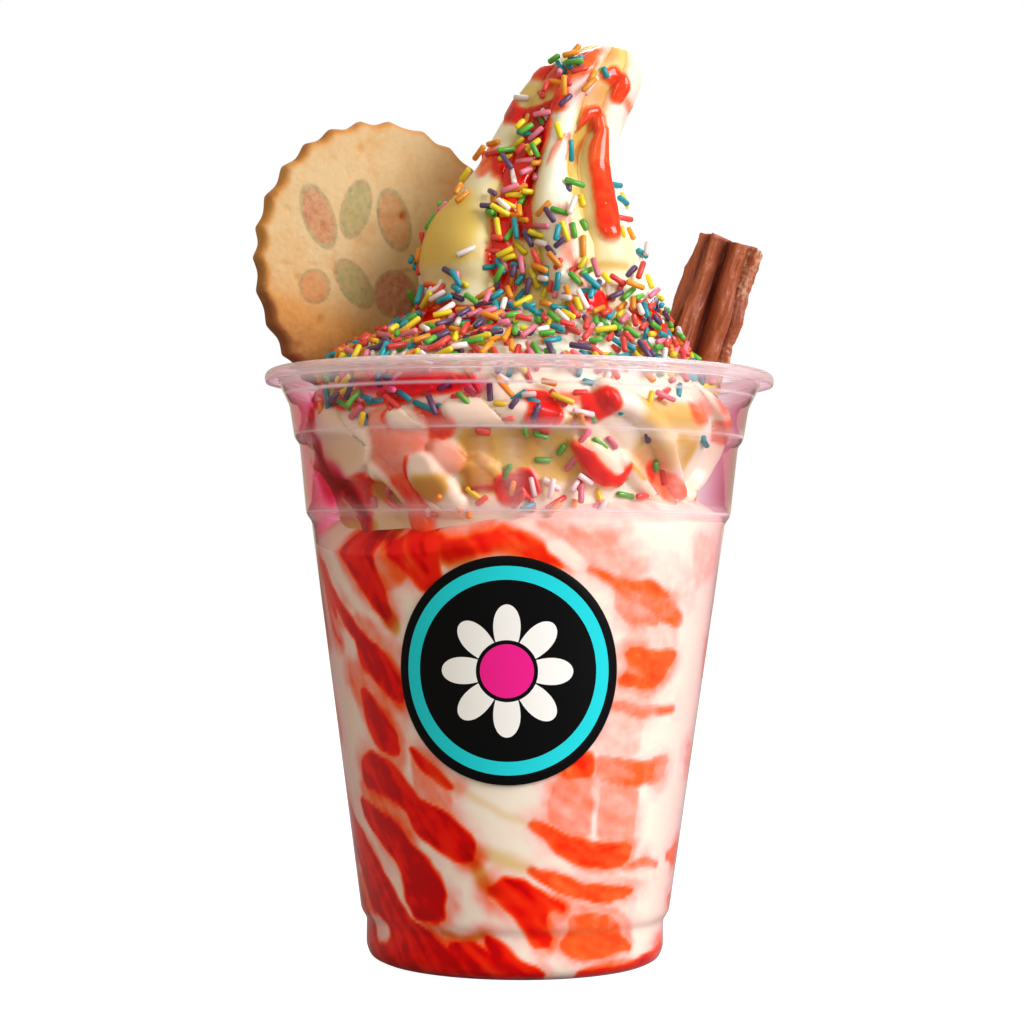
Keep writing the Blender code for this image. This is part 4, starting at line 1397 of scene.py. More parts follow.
@dataclass
class Peak:
    """The piped part: drawn in above the ledge, a fluted mass at the rim and the tall peak."""

    cup: Cup
    filling: Filling
    noise: Noise
    columns: int = 400
    rows: int = 240
    top: Point = (17.3, 176.6)
    wall_room: float = 0.5
    depth_share: float = 0.94  # half depth against half width, up the peak
    depth_starts: Point = (116.0, 130.0)
    rounding: float = 1.6  # of the outline's corners
    slant_flutes: int = 15
    slant_rise: float = 12.5
    slant_depth: float = 3.2
    slant_drop: float = 1.6  # how much deeper a furrow starts than a flute
    slant_band: Band = (86.0, 92.0, 108.0, 116.0)
    front_smooth: float = 0.75  # share of the flutes' depth that the front does without
    drop_ends: Point = (92.0, 104.0)  # the rings follow the ledge's slope below, and lie level above
    ridge_depth: float = 0.25
    ridge_band: Point = (117.0, 127.0)
    shoulder: float = 136.0
    sauce_rise: float = 0.45
    lumps: float = 0.25
    smooth_below: float = 80.0
    mark_turn: float = 104.0  # below it marks go by true heights, above it by rings

    # Its outline from the front: nominal height, left end (x, z) and right end (x, z).
    RINGS = (
        (68.0, -32.0, 68.0, 32.0, 68.0),
        (84.0, -33.2, 84.0, 33.2, 84.0),
        (89.6, -34.4, 89.6, 34.4, 89.6),
        (94.0, -35.6, 94.0, 35.6, 94.0),
        (99.0, -38.8, 99.0, 38.8, 99.0),
        (104.0, -40.2, 104.0, 40.2, 104.0),
        (109.0, -38.9, 109.0, 37.2, 109.0),
        (113.0, -36.6, 113.0, 33.4, 113.0),
        (115.4, -33.0, 115.4, 31.4, 115.4),
        (117.6, -27.6, 117.6, 30.0, 117.6),
        (120.6, -22.8, 120.6, 28.5, 120.6),
        (123.0, -19.9, 123.0, 27.2, 123.0),
        (126.5, -19.3, 126.5, 26.3, 126.5),
        (131.0, -20.9, 131.0, 25.4, 131.0),
        (137.6, -20.0, 137.6, 24.0, 137.6),
        (142.0, -17.4, 142.2, 21.8, 142.0),
        (147.0, -12.6, 147.2, 19.8, 146.4),
        (152.5, -8.1, 152.9, 18.2, 151.4),
        (157.5, -5.4, 157.9, 18.3, 155.4),
        (162.0, -3.0, 162.6, 19.4, 159.6),
        (166.0, -0.9, 166.8, 21.0, 163.4),
        (169.5, 2.0, 170.4, 22.8, 167.0),
        (172.5, 5.6, 173.2, 23.8, 170.0),
        (174.8, 9.8, 175.5, 23.4, 173.2),
        (176.2, 13.8, 176.6, 21.4, 175.4),
    )

    RIDGES = (
        Ridge(-60, 35, -1.2),
        Ridge(22, 17, -0.9),
        Ridge(68, 30, 0.1),
        Ridge(118, 24, -0.5),
        Ridge(161, 22, -0.8),
        Ridge(205, 23, -0.9),
        Ridge(250, 22, -1.0),
    )

    # Hollows, and swellings where the depth is below 0.
    DENTS = (
        Spot(32, 155, 12, 6, 1.8),
        Spot(-55, 129.5, 24, 2.6, 1.6),
        Spot(44, 131.0, 22, 1.8, 1.3),
        Spot(28, 147.5, 14, 1.5, 0.8),
        Spot(8, 152, 7, 9, -0.8),
        Spot(16, 141, 6, 5, -1.4),
        Spot(-10, 148, 5, 10, 1.8),
        Spot(-30, 160.5, 16, 1.6, 1.4),
        Spot(45, 167, 18, 1.8, 0.8),
        Spot(2, 95.5, 17, 5.5, 3.2),
        Spot(-40, 85.5, 16, 5.0, 1.5),
    )

    RELIEF = (
        Mark(RAISE, 2.6, 3, (-70, 105, -58, 104.4, -50, 102.6, -44, 101, -40.5, 98, -42.5, 94.3, -49, 92,
             -60, 91.8, -72, 94, -86, 97.6, -77, 101.5)),
        Mark(RAISE, 2, 1.6, (-36, 103.4, -31, 104.2, -27, 103.8, -25, 101.5, -24.4, 100, -30, 100,
             -35.2, 100.5)),
        Mark(RAISE, 1.2, 3, (-43, 103, -36, 103.5, -30, 100, -24, 99, -27, 94, -31, 92, -29, 86, -27, 82,
             -35, 82, -37, 90, -42, 94)),
        Mark(RAISE, 2.4, 2.2, (-30, 95.2, -26, 96.2, -23, 95.2, -19.5, 92, -15.5, 88.5, -14.5, 85.2,
             -25, 84.6, -28.5, 88, -30.8, 91.5)),
        Mark(RAISE, 1.6, 1, (-43.2, 94, -40, 93.8, -37.2, 91.5, -35, 88, -35.8, 87, -39, 91, -43.2, 91.2)),
        Mark(RAISE, 1.5, 2, (-24.3, 97.8, -20.5, 98.8, -16.2, 97.2, -14.4, 95, -15.2, 92.8, -20.3, 92.2,
             -24.3, 94.8)),
        Mark(RAISE, 1.8, 1.8, (-20.5, 104.4, -8, 105, 6, 104.2, 15, 102.6, 12, 100.6, -5, 100.8,
             -18, 100.8)),
        Mark(RAISE, 1.2, 2, (-15.5, 95, -10, 95.6, -5, 93.6, -5.5, 89.5, -15, 89.2)),
        Mark(RAISE, 2, 2.4, (13.5, 99, 20.5, 98, 27, 96, 32, 94.4, 32.3, 92, 29.8, 90, 25.5, 90, 19.5, 92.4,
             15.5, 95.4)),
        Stroke(RAISE, 2, 1.8, (30, 95, 1.6, 38, 92, 1.9, 46, 89, 2, 54, 86.5, 2)),
        Stroke(RAISE, 2.6, 2.2, (24, 106.4, 2.6, 33, 103.4, 2.3, 43, 98, 2, 50, 94, 1.8, 58, 89, 1.6)),
        Stroke(RAISE, 2.4, 2, (54, 109, 1.6, 64, 106, 2, 72, 101, 2.2, 72, 94, 2, 66, 89, 1.4)),
        Stroke(RAISE, 1.2, 2.6, (49, 160.5, 1.4, 50, 156, 2.3, 51, 151, 2.5, 51, 146.5, 2.4, 49, 142, 2.6,
             47, 139, 2.5)),
        Stroke(RAISE, 0.8, 1.6, (18, 160.6, 1.2, 27, 163, 1.8, 40, 163, 1.8, 50, 160, 1.4)),
    )

    MARKS = (
        # Up the peak: the great groove, its branches and the hole at its top, with painted shade in the
        # groove, over the shaded left lobe and its foot and in the hollows on the right, and a painted pink
        # sheen near the tip.
        Mark(SAUCE, 0.55, 0.8, (-84, 155, -66, 155.5, -50, 152, -56, 149.5, -74, 151)),
        Mark(SAUCE, 0.9, 0.6, (-62, 153.5, -45, 156, -34, 158, -24, 161.5, -12, 161, -7.5, 157, -8.5, 151,
             -11, 147, -13, 143, -14, 138, -9.5, 131, -14, 126.5, -24, 127.5, -26.5, 133, -24, 138,
             -28, 141, -28, 145, -34, 148.3, -48, 150)),
        Mark(SAUCE, 1, 0.6, (-44, 160.3, -30, 162.4, -14, 161.2, -10, 156, -9, 151, -14, 150, -22, 153,
             -34, 156.5)),
        Mark(CREASE, 0.8, 0.8, (-42, 159.6, -32, 161.6, -18, 160.8, -20, 158.6, -34, 158.6)),
        Stroke(SAUCE, 1, 0.4, (-12, 153, 0.9, -9, 149, 1.2, -7.5, 146, 1.4, -7, 142, 1.7, -4, 138, 1.5)),
        Mark(SAUCE, 0.95, 0.6, (-86, 165, -60, 162.5, -40, 163.2, -22, 164.6, -10, 165.2, -12, 163,
             -28, 161.4, -52, 160, -80, 160.6)),
        Mark(SAUCE, 0.72, 0.6, (-21, 166, -12, 167, -3, 165.6, -2, 163.2, -10, 162.6, -18, 163.6)),
        Mark(SAUCE, 0.8, 0.9, (-86, 171, -60, 171.4, -34, 171.6, -20, 170.4, -34, 168.8, -64, 169,
             -86, 168.8)),
        Mark(CREASE, 0.45, 1.2, (-86, 168, -60, 168, -34, 168, -24, 165.8, -50, 163.4, -80, 164.6)),
        Mark(CREASE, 0.56, 4, (-84, 148, -50, 147, -30, 141, -28, 131, -84, 131)),
        Mark(CREASE, 0.3, 1.6, (-82, 134.5, -56, 134.2, -34, 132.5, -23, 131, -25, 128, -60, 129,
             -80, 130)),
        Stroke(SAUCE, 0.46, 0.5, (0, 151.5, 0.3, 1, 154, 0.7, 4.5, 157, 0.9, 10, 158, 0.8, 14, 155.6, 0.6,
             14.5, 153, 0.3)),
        Mark(SAUCE, 0.36, 1, (12, 142.5, 19.5, 142, 21, 136, 19, 131, 14, 133, 15, 138)),
        Stroke(SAUCE, 0.4, 0.6, (18, 134, 0.6, 22, 129.5, 1, 25, 126, 0.6)),
        Mark(CREASE, 0.62, 0.9, (17, 161.3, 27, 162, 40, 161, 42, 157, 36, 153, 33, 149.5, 20, 149.5,
             17, 154)),
        Mark(CREASE, 0.45, 0.9, (22, 133, 40, 133, 56, 132.8, 56, 131.4, 36, 131.6, 22, 131.8)),
        Mark(CREASE, 0.26, 2, (20, 144, 34, 145, 38, 138, 60, 140, 62, 132, 22, 132)),
        Stroke(SAUCE, 0.68, 0.5, (17.5, 160.4, 0.6, 26, 163, 1.4, 38, 163.2, 1.6, 48, 160, 1.2)),
        Stroke(SAUCE, 0.66, 0.5, (49, 160.5, 1.2, 50, 156, 2.1, 51, 151, 2.2)),
        Stroke(SAUCE, 0.76, 0.5, (51, 152, 2, 51, 146.5, 2.2, 49, 142, 2.4, 47, 139.2, 2.3)),
        Mark(SAUCE, 0.24, 1.4, (-12, 176, 10, 175.6, 26, 174.6, 22, 172.4, 4, 172.6, -12, 173.6)),
        Mark(SAUCE, 0.6, 1.2, (-54, 174.4, -12, 175.4, 2, 171, -12, 166.8, -44, 166.6)),
        Mark(SAUCE, 0.14, 1.8, (50, 174, 74, 172.4, 84, 166, 72, 162.6, 58, 164.6, 53, 170)),
        Mark(SAUCE, 0.74, 0.5, (14, 170.4, 24, 172.4, 40, 171.8, 56, 169.6, 58, 166.4, 48, 166.6, 42, 169.2,
             24, 169.6)),
        Mark(BLUSH, 0.4, 1.6, (-2, 169.6, 20, 169, 46, 167, 46, 163.6, 20, 164.2, 0, 164)),
        Stroke(SAUCE, 0.5, 0.9, (62, 167, 0.8, 80, 166, 0.9, 92, 167, 0.8)),
        Mark(SAUCE, 0.9, 0.6, (-86, 129, -66, 129, -54, 127, -56, 123.6, -86, 123)),
        Mark(SAUCE, 1, 0.6, (-70, 122.6, -48, 124, -28, 123.4, -12, 122.4, -14, 119, -40, 118.6, -70, 119)),
        Mark(SAUCE, 0.97, 0.5, (21, 126, 30, 127, 38, 125.6, 39, 123, 28, 121.6, 20, 122.6)),
        Mark(SAUCE, 0.9, 0.6, (48, 124.4, 64, 124.6, 84, 122, 96, 120, 96, 115.6, 74, 117, 54, 119.6)),
        Stroke(SAUCE, 0.85, 0.7, (128, 156, 1.4, 134, 142, 2.4, 140, 130, 2.4, 138, 121, 1.6)),
        Stroke(SAUCE, 0.85, 0.7, (174, 152, 1.2, 182, 138, 2.2, 186, 128, 2.4, 184, 119, 1.6)),
        Stroke(SAUCE, 0.8, 0.7, (226, 160, 1, 230, 146, 1.8, 228, 134, 1.4)),
        # Inside the rim, left of the middle, with a painted pink glow where the slanting wall shows the
        # sauce, and painted shade under the petals.
        Mark(SAUCE, 0.94, 0.5, (-100, 110, -60, 110.4, -30, 110.6, -10.5, 109.4, -14, 108, -16, 106.6,
             -28, 106.2, -30, 105.2, -48, 104.2, -56, 104.2, -66, 106, -84, 105, -100, 104)),
        Mark(BLUSH, 0.5, 1, (-100, 110, -14, 109, -16, 107, -100, 106)),
        Mark(CREAM, 0.85, 0.6, (-54, 110, -40, 111, -36, 108.4, -42, 105.6, -54, 106.4)),
        Mark(SAUCE, 0.85, 1.2, (-120, 104, -90, 105, -84, 99, -90, 90, -84, 84, -120, 84)),
        Mark(BLUSH, 0.8, 2, (-120, 106, -88, 105, -82, 98, -80, 91, -66, 86, -60, 84, -120, 84)),
        Mark(SAUCE, 0.4, 0.5, (-44, 102.6, -37, 104.4, -34.5, 103, -36, 101, -33, 100, -27, 100.4,
             -24, 99.5, -22, 98, -24, 94.5, -30, 94.6, -31, 92, -29, 87, -27, 83, -35, 83, -37.5, 91,
             -42, 94.4, -40, 97.5)),
        Mark(SAUCE, 0.62, 0.8, (-37.5, 91.8, -31.5, 93, -30.5, 89, -27, 85, -26, 81, -34, 81, -35.5, 87.5)),
        Stroke(SAUCE, 0.85, 0.5, (-34.4, 92, 0.4, -33, 89.5, 0.7, -31.8, 87.5, 0.5)),
        Mark(SAUCE, 0.72, 0.4, (-28.5, 104.4, -20.3, 104.4, -20.3, 102, -16, 101.6, -19, 98.3, -24.6, 98.4,
             -24, 100.3, -26, 102)),
        Mark(SAUCE, 0.28, 0.5, (-24.3, 97.8, -20.5, 98.4, -16.4, 97, -14.6, 95, -15.4, 92.8, -20.3, 92.6,
             -24, 95)),
        Mark(SAUCE, 0.98, 0.5, (-70, 93, -61, 92, -52.5, 92.2, -53.5, 87.6, -60, 87, -63, 90)),
        Mark(BLUSH, 0.7, 0.8, (-66, 93, -58, 92.4, -52.5, 92.4, -53.5, 88, -60, 87.6)),
        Mark(SAUCE, 0.8, 0.4, (-52, 92.6, -46.5, 92.6, -46, 91, -49.5, 89.4, -53.5, 84.5, -55.5, 86)),
        Mark(CREAM, 1, 0.4, (-68, 104.8, -58, 104, -50.5, 102.2, -44.5, 100.5, -41.5, 98, -43.5, 94.5,
             -49.5, 92.6, -60, 92.4, -72, 94.6, -84, 97.6, -76, 101.2)),
        Mark(CREAM, 1, 0.3, (-35.4, 103.2, -31, 103.8, -27.2, 103.4, -25.4, 101.5, -24.9, 100.3, -30, 100.4,
             -34.8, 100.9)),
        Mark(CREAM, 1, 0.4, (-29.6, 94.8, -26, 95.7, -23.3, 94.7, -20, 91.8, -16, 88.3, -15, 85.4,
             -25, 85.4, -27.6, 88, -29.9, 91.5)),
        Mark(CREAM, 1, 0.3, (-42.8, 93.6, -40.2, 93.4, -37.8, 91.3, -35.6, 88, -36, 87.3, -39, 91.2,
             -42.8, 91.5)),
        Mark(CREASE, 0.24, 3, (-76, 100, -44, 99, -43, 93, -74, 93.6)),
        Mark(CREASE, 1, 1.2, (-46, 91, -38.6, 91, -36.4, 87.6, -36, 85.6, -44, 86.4, -48, 88.4)),
        Mark(CREASE, 0.8, 1.1, (-29.4, 92.2, -20.6, 92.4, -20, 90, -24, 88, -28, 88.4)),
        Mark(CREASE, 0.6, 1.5, (-76, 87.6, -56, 87.4, -50, 84, -50, 78, -76, 78)),
        Stroke(SAUCE, 1, 0.4, (-67, 105, 0.6, -65.5, 102.5, 0.8, -75, 99.5, 1.3, -84, 97, 1.6,
             -82, 93.5, 1.5, -67, 90.3, 1.4, -60, 87, 1.3, -56.5, 84, 1.2, -54, 79, 1.6)),
        Stroke(SAUCE, 1, 0.4, (-73, 95.5, 0.5, -65, 91.8, 0.9, -60.5, 88, 0.6)),
        Stroke(SAUCE, 1, 0.35, (-43.5, 91.2, 0.3, -47.5, 90.8, 0.8, -50.5, 88.3, 0.8, -53, 85.5, 0.8,
             -54.5, 82, 1)),
        Stroke(SAUCE, 1, 0.3, (-36, 103.6, 0.3, -37, 102, 0.45, -34.6, 100, 0.3)),
        Stroke(SAUCE, 1, 0.3, (-30.2, 95.2, 0.35, -31.2, 92.5, 0.55, -30, 89.5, 0.7, -28, 86.6, 0.8,
             -25.5, 84.9, 0.4)),
        # And right of it, with painted shade in its hollows.
        Mark(CREASE, 0.5, 1, (-16.5, 99.8, 20, 99.4, 19, 91, -5, 91, -15.5, 89)),
        Mark(CREASE, 0.75, 1.3, (-16.5, 99.8, -6.4, 99.8, -6.2, 95.6, -9, 96, -15.4, 95.2)),
        Mark(CREASE, 0.7, 1.3, (-1.5, 99.8, 6.5, 99.8, 6.8, 95.8, 3, 93.6, -1.5, 94.4)),
        Mark(CREASE, 0.9, 0.8, (-14.8, 95.6, -11, 96, -7.6, 95, -9, 93.9, -14.4, 93.9)),
        Mark(CREASE, 0.95, 1, (-15.6, 93.6, -9, 94, -6, 91.8, -6.5, 88.6, -15.6, 88.8)),
        Mark(SAUCE, 0.95, 0.4, (-7, 91, -4.5, 92.2, -1.2, 92, -0.4, 89.5, -2.4, 86.6, -5.2, 86.8)),
        Mark(SAUCE, 0.99, 0.4, (-1.4, 90.4, 0, 93, 3.4, 92.8, 5.4, 90.5, 6, 88.8, -1, 88)),
        Stroke(SAUCE, 0.95, 0.3, (-15, 89.2, 0.25, -10, 89.6, 0.45, -6, 89.2, 0.35)),
        Mark(SAUCE, 0.96, 0.4, (0.5, 106.5, 8, 106.5, 10.4, 103, 9, 101.2, 0.6, 101.5, 3, 104)),
        Mark(SAUCE, 0.93, 0.4, (16.2, 106.5, 24, 106.4, 25.4, 104, 21, 101.8, 17.6, 101.8, 17.2, 104)),
        Mark(SAUCE, 0.5, 0.5, (10.6, 106.6, 16, 106.2, 15, 104.4, 11.2, 104.8)),
        Mark(CREASE, 1, 0.4, (10.5, 101.4, 17, 104, 18, 102.6, 16, 101.2)),
        Mark(SAUCE, 0.9, 0.4, (14, 98.4, 19.5, 97, 23.5, 95.2, 27.7, 93, 31.2, 94.9, 31.8, 92.3, 29.6, 90.3,
             26, 90.3, 21.8, 91.6, 17.6, 94.6)),
        Mark(CREAM, 1, 0.35, (20, 97.8, 24, 96.8, 30, 95, 28, 93.2, 25.4, 94.2)),
        Mark(CREASE, 0.5, 1.2, (31, 106, 58, 105, 60, 100.5, 33, 100.5)),
        Mark(CREASE, 0.6, 1.2, (48, 99.6, 60, 99, 61, 92, 58, 90, 54, 94)),
        Mark(CREASE, 0.4, 1.6, (33, 99.5, 46, 99, 50, 95, 40, 92.5, 33, 95)),
        Mark(SAUCE, 0.16, 1.6, (34, 97, 48, 96, 52, 92, 38, 91)),
        Mark(SAUCE, 0.76, 0.4, (40.8, 94.8, 44.2, 94.6, 45.4, 92.4, 42, 91.6, 40.4, 93)),
        Mark(SAUCE, 0.52, 0.5, (40.8, 92, 47.5, 93.8, 53, 91.7, 58.5, 90, 56, 87.2, 49, 88.2, 44.6, 90.2)),
        Stroke(CREASE, 0.8, 0.4, (31.5, 94.5, 0.4, 38, 92, 0.4)),
        Mark(SAUCE, 0.46, 0.9, (52.4, 105.4, 58, 106, 62.6, 104.4, 62, 102.4, 56, 102, 52.4, 103.4)),
        Mark(SAUCE, 0.46, 0.7, (63, 106.4, 80, 105.4, 84, 104, 66, 104.4)),
        Mark(SAUCE, 0.56, 0.5, (65.6, 103.2, 71.4, 103.4, 74.6, 100.5, 71, 99.2, 67.6, 101)),
        Stroke(SAUCE, 0.5, 0.7, (88, 97, 1, 86, 92, 1.3, 80, 87, 1.6, 74, 82, 2)),
        Stroke(SAUCE, 0.9, 0.7, (112, 110, 1, 120, 101, 2, 128, 92, 1.6)),
        Stroke(SAUCE, 0.9, 0.7, (150, 110, 1, 160, 101, 2, 170, 92, 1.6)),
        Stroke(SAUCE, 0.9, 0.7, (192, 110, 1, 202, 101, 2, 212, 92, 1.6)),
    )

    def ring_ends(self, level: Array) -> Array:
        """Left and right end of the ring at a nominal height, as four columns."""
        table = np.array(self.RINGS)
        return np.stack([eased(table[:, (0, i)], level, self.rounding) for i in range(1, 5)], axis=1)

    def slant(self, bearing: Array, height: Array) -> Array:
        """How the slanting flutes stand out.

        Args:
            bearing: The places' bearings.
            height: Their heights.

        Returns:
            0 in a furrow to 1 on a crest.
        """
        phase = self.slant_flutes * np.radians(bearing) + 2 * math.pi * height / self.slant_rise
        crest = np.abs(np.sin(phase / 2)) ** 0.7
        at_front = 1.0 - fade(70.0, 100.0, np.abs(bearing_off(bearing, 5.0)))
        return crest + (1.0 - crest) * self.front_smooth * at_front

    def crest(self, bearing: Array, height: Array) -> Array:
        """How the peak's ropes stand out.

        Args:
            bearing: The places' bearings.
            height: Their heights.

        Returns:
            0 in a groove to 1 on a crest.
        """
        above = np.maximum(0.0, height - self.shoulder)
        crest = np.full(len(bearing), 0.02)
        for ridge in self.RIDGES:
            off = bearing_off(bearing, ridge.bearing + ridge.twist * above)
            crest = np.maximum(crest, 1.0 - (off / ridge.spread) ** 2)
        return np.sqrt(crest)

    def dents(self, bearing: Array, height: Array) -> Array:
        """How far the peak is hollowed at bearings and heights, in millimetres."""
        return sum(dent.at(bearing, height) for dent in self.DENTS)

    def point(self, bearing: Array, height: Array) -> Array:
        """Points of the bare soft serve.

        Args:
            bearing: Their bearings.
            height: Their nominal heights, those of the rings that they lie on.

        Returns:
            A row for each point.
        """
        slant = self.slant(bearing, height)
        drop = self.filling.ledge - self.filling.ledge_height(bearing)
        shift = (drop + self.slant_drop * (1.0 - slant)) * (1.0 - fade(*self.drop_ends, height))
        level = height + shift
        ends = self.ring_ends(level)
        low, high = ends[:, :2], ends[:, 2:]
        middle, half = (low + high) / 2, (high - low) / 2
        reach = np.linalg.norm(half, axis=1)
        groove = self.ridge_depth * (1.0 - self.crest(bearing, height)) * fade(*self.ridge_band, height)
        out = reach * (1.0 - groove) - within(self.slant_band, level) * self.slant_depth * (1.0 - slant)
        out -= self.dents(bearing, height) * np.minimum(1.0, reach / 12.0)
        turn = np.radians(bearing)
        depth = 1.0 - (1.0 - self.depth_share) * fade(*self.depth_starts, height)
        room = self.cup.inner_radius(height) - self.wall_room
        out = np.where(height < self.cup.neck_top, np.minimum(out, room), out)
        x, z = middle.T + half.T * (np.sin(turn) * out / reach)
        return np.stack((x, -np.cos(turn) * out * depth, z - shift), axis=1)

    def outward(self, bearing: Array, height: Array) -> tuple[Array, Array, Array, Array]:
        """How the bare surface lies.

        Args:
            bearing: Bearings of its points.
            height: Their nominal heights.

        Returns:
            Directions square to it, to its side and up it, and the millimetres to a degree.
        """
        turn, rise = 0.8, 0.6
        side = self.point(bearing + turn, height) - self.point(bearing - turn, height)
        up = self.point(bearing, height + rise) - self.point(bearing, height - rise)
        length = np.linalg.norm(side, axis=1)
        side /= length[:, None]
        up /= np.linalg.norm(up, axis=1)[:, None]
        out = np.cross(side, up)
        return out / np.linalg.norm(out, axis=1)[:, None], side, up, length / (2 * turn)

    def shade_in_grooves(self, bearing: Array, height: Array) -> Array:
        """How much painted shade lies between the ropes, in the dents and in the furrows.

        Args:
            bearing: The corners' bearings.
            height: Their nominal heights.

        Returns:
            A share for each.
        """
        groove = 0.55 * (1.0 - self.crest(bearing, height)) * fade(*self.ridge_band, height)
        hollow = 0.25 * np.clip(self.dents(bearing, height), 0.0, 1.6)
        furrow = 0.7 * (1.0 - self.slant(bearing, height)) * (1.0 - fade(104.0, 114.0, height))
        return np.maximum.reduce((groove, hollow, furrow))

    def build(self, finish: bpy.types.Material) -> None:
        """Builds the peak, lays its sauce and lifts the skin where sauce is thick.

        Args:
            finish: The soft serve's material.
        """
        made, bearing, share = wrapped_skin("soft_serve_peak", self.columns, self.rows, FRONT_CROWD)
        low, high = self.RINGS[0][0], self.RINGS[-1][0]
        rows = np.round(share * self.rows)
        height = np.clip(low + (high - low) * (rows - 1) / (self.rows - 2), low, high)
        bottom, top = rows < 1, rows > self.rows - 1
        bare = self.point(bearing, height)
        bare[bottom] = (0.0, 0.0, low)
        bare[top] = (self.top[0], 0.0, self.top[1])
        out, _, _, arc = self.outward(bearing, np.clip(height, low + 1.0, high - 1.0))
        across, up = self.noise.shifts(bare, (0.3, 5.0), (0.2, 1.8))
        level = np.where(height < self.mark_turn, bare[:, 2], height) + up
        around = bearing + across / np.maximum(arc, 0.15)
        laid = lay(self.MARKS, around, level, arc)
        lift = lay(self.RELIEF, around, level, arc)[RAISE]
        lift = lift + self.sauce_rise * fade(0.3, 0.8, laid[SAUCE]) + self.lumps * self.noise.at(bare, 6.0)
        lift[bottom | top | (height < self.smooth_below)] = 0.0
        placed = bare + out * lift[:, None]
        room = self.cup.inner_radius(placed[:, 2]) - self.wall_room
        reach = np.maximum(np.linalg.norm(placed[:, :2], axis=1), 1.0)
        squeeze = np.where(placed[:, 2] < self.cup.neck_top, np.minimum(1.0, room / reach), 1.0)
        placed[:, :2] *= squeeze[:, None]
        # Painted shade: the marks' own, and that in the grooves between the ropes, the dents and the
        # furrows.
        crease = np.clip(np.maximum(laid[CREASE], self.shade_in_grooves(bearing, height)), 0.0, 1.0)
        inks = {"sauce": laid[SAUCE], "crease": crease, "blush": laid[BLUSH]}
        settle(made, placed, finish, "soft_serve", "soft_serve", **inks)


# ------------------------------------------------------------------ sugar strands


class StrandColour(Enum):
    """The colours of the sugar strands, with how many of a hundred have each."""

    CORAL = ("e2463e", 17)
    PINK = ("ea7f96", 11)
    ORANGE = ("ef9522", 15)
    YELLOW = ("ead324", 12)
    GREEN = ("5cb43c", 14)
    TEAL = ("1599a8", 13)
    PURPLE = ("5c4268", 9)
    WHITE = ("f3e9e6", 9)


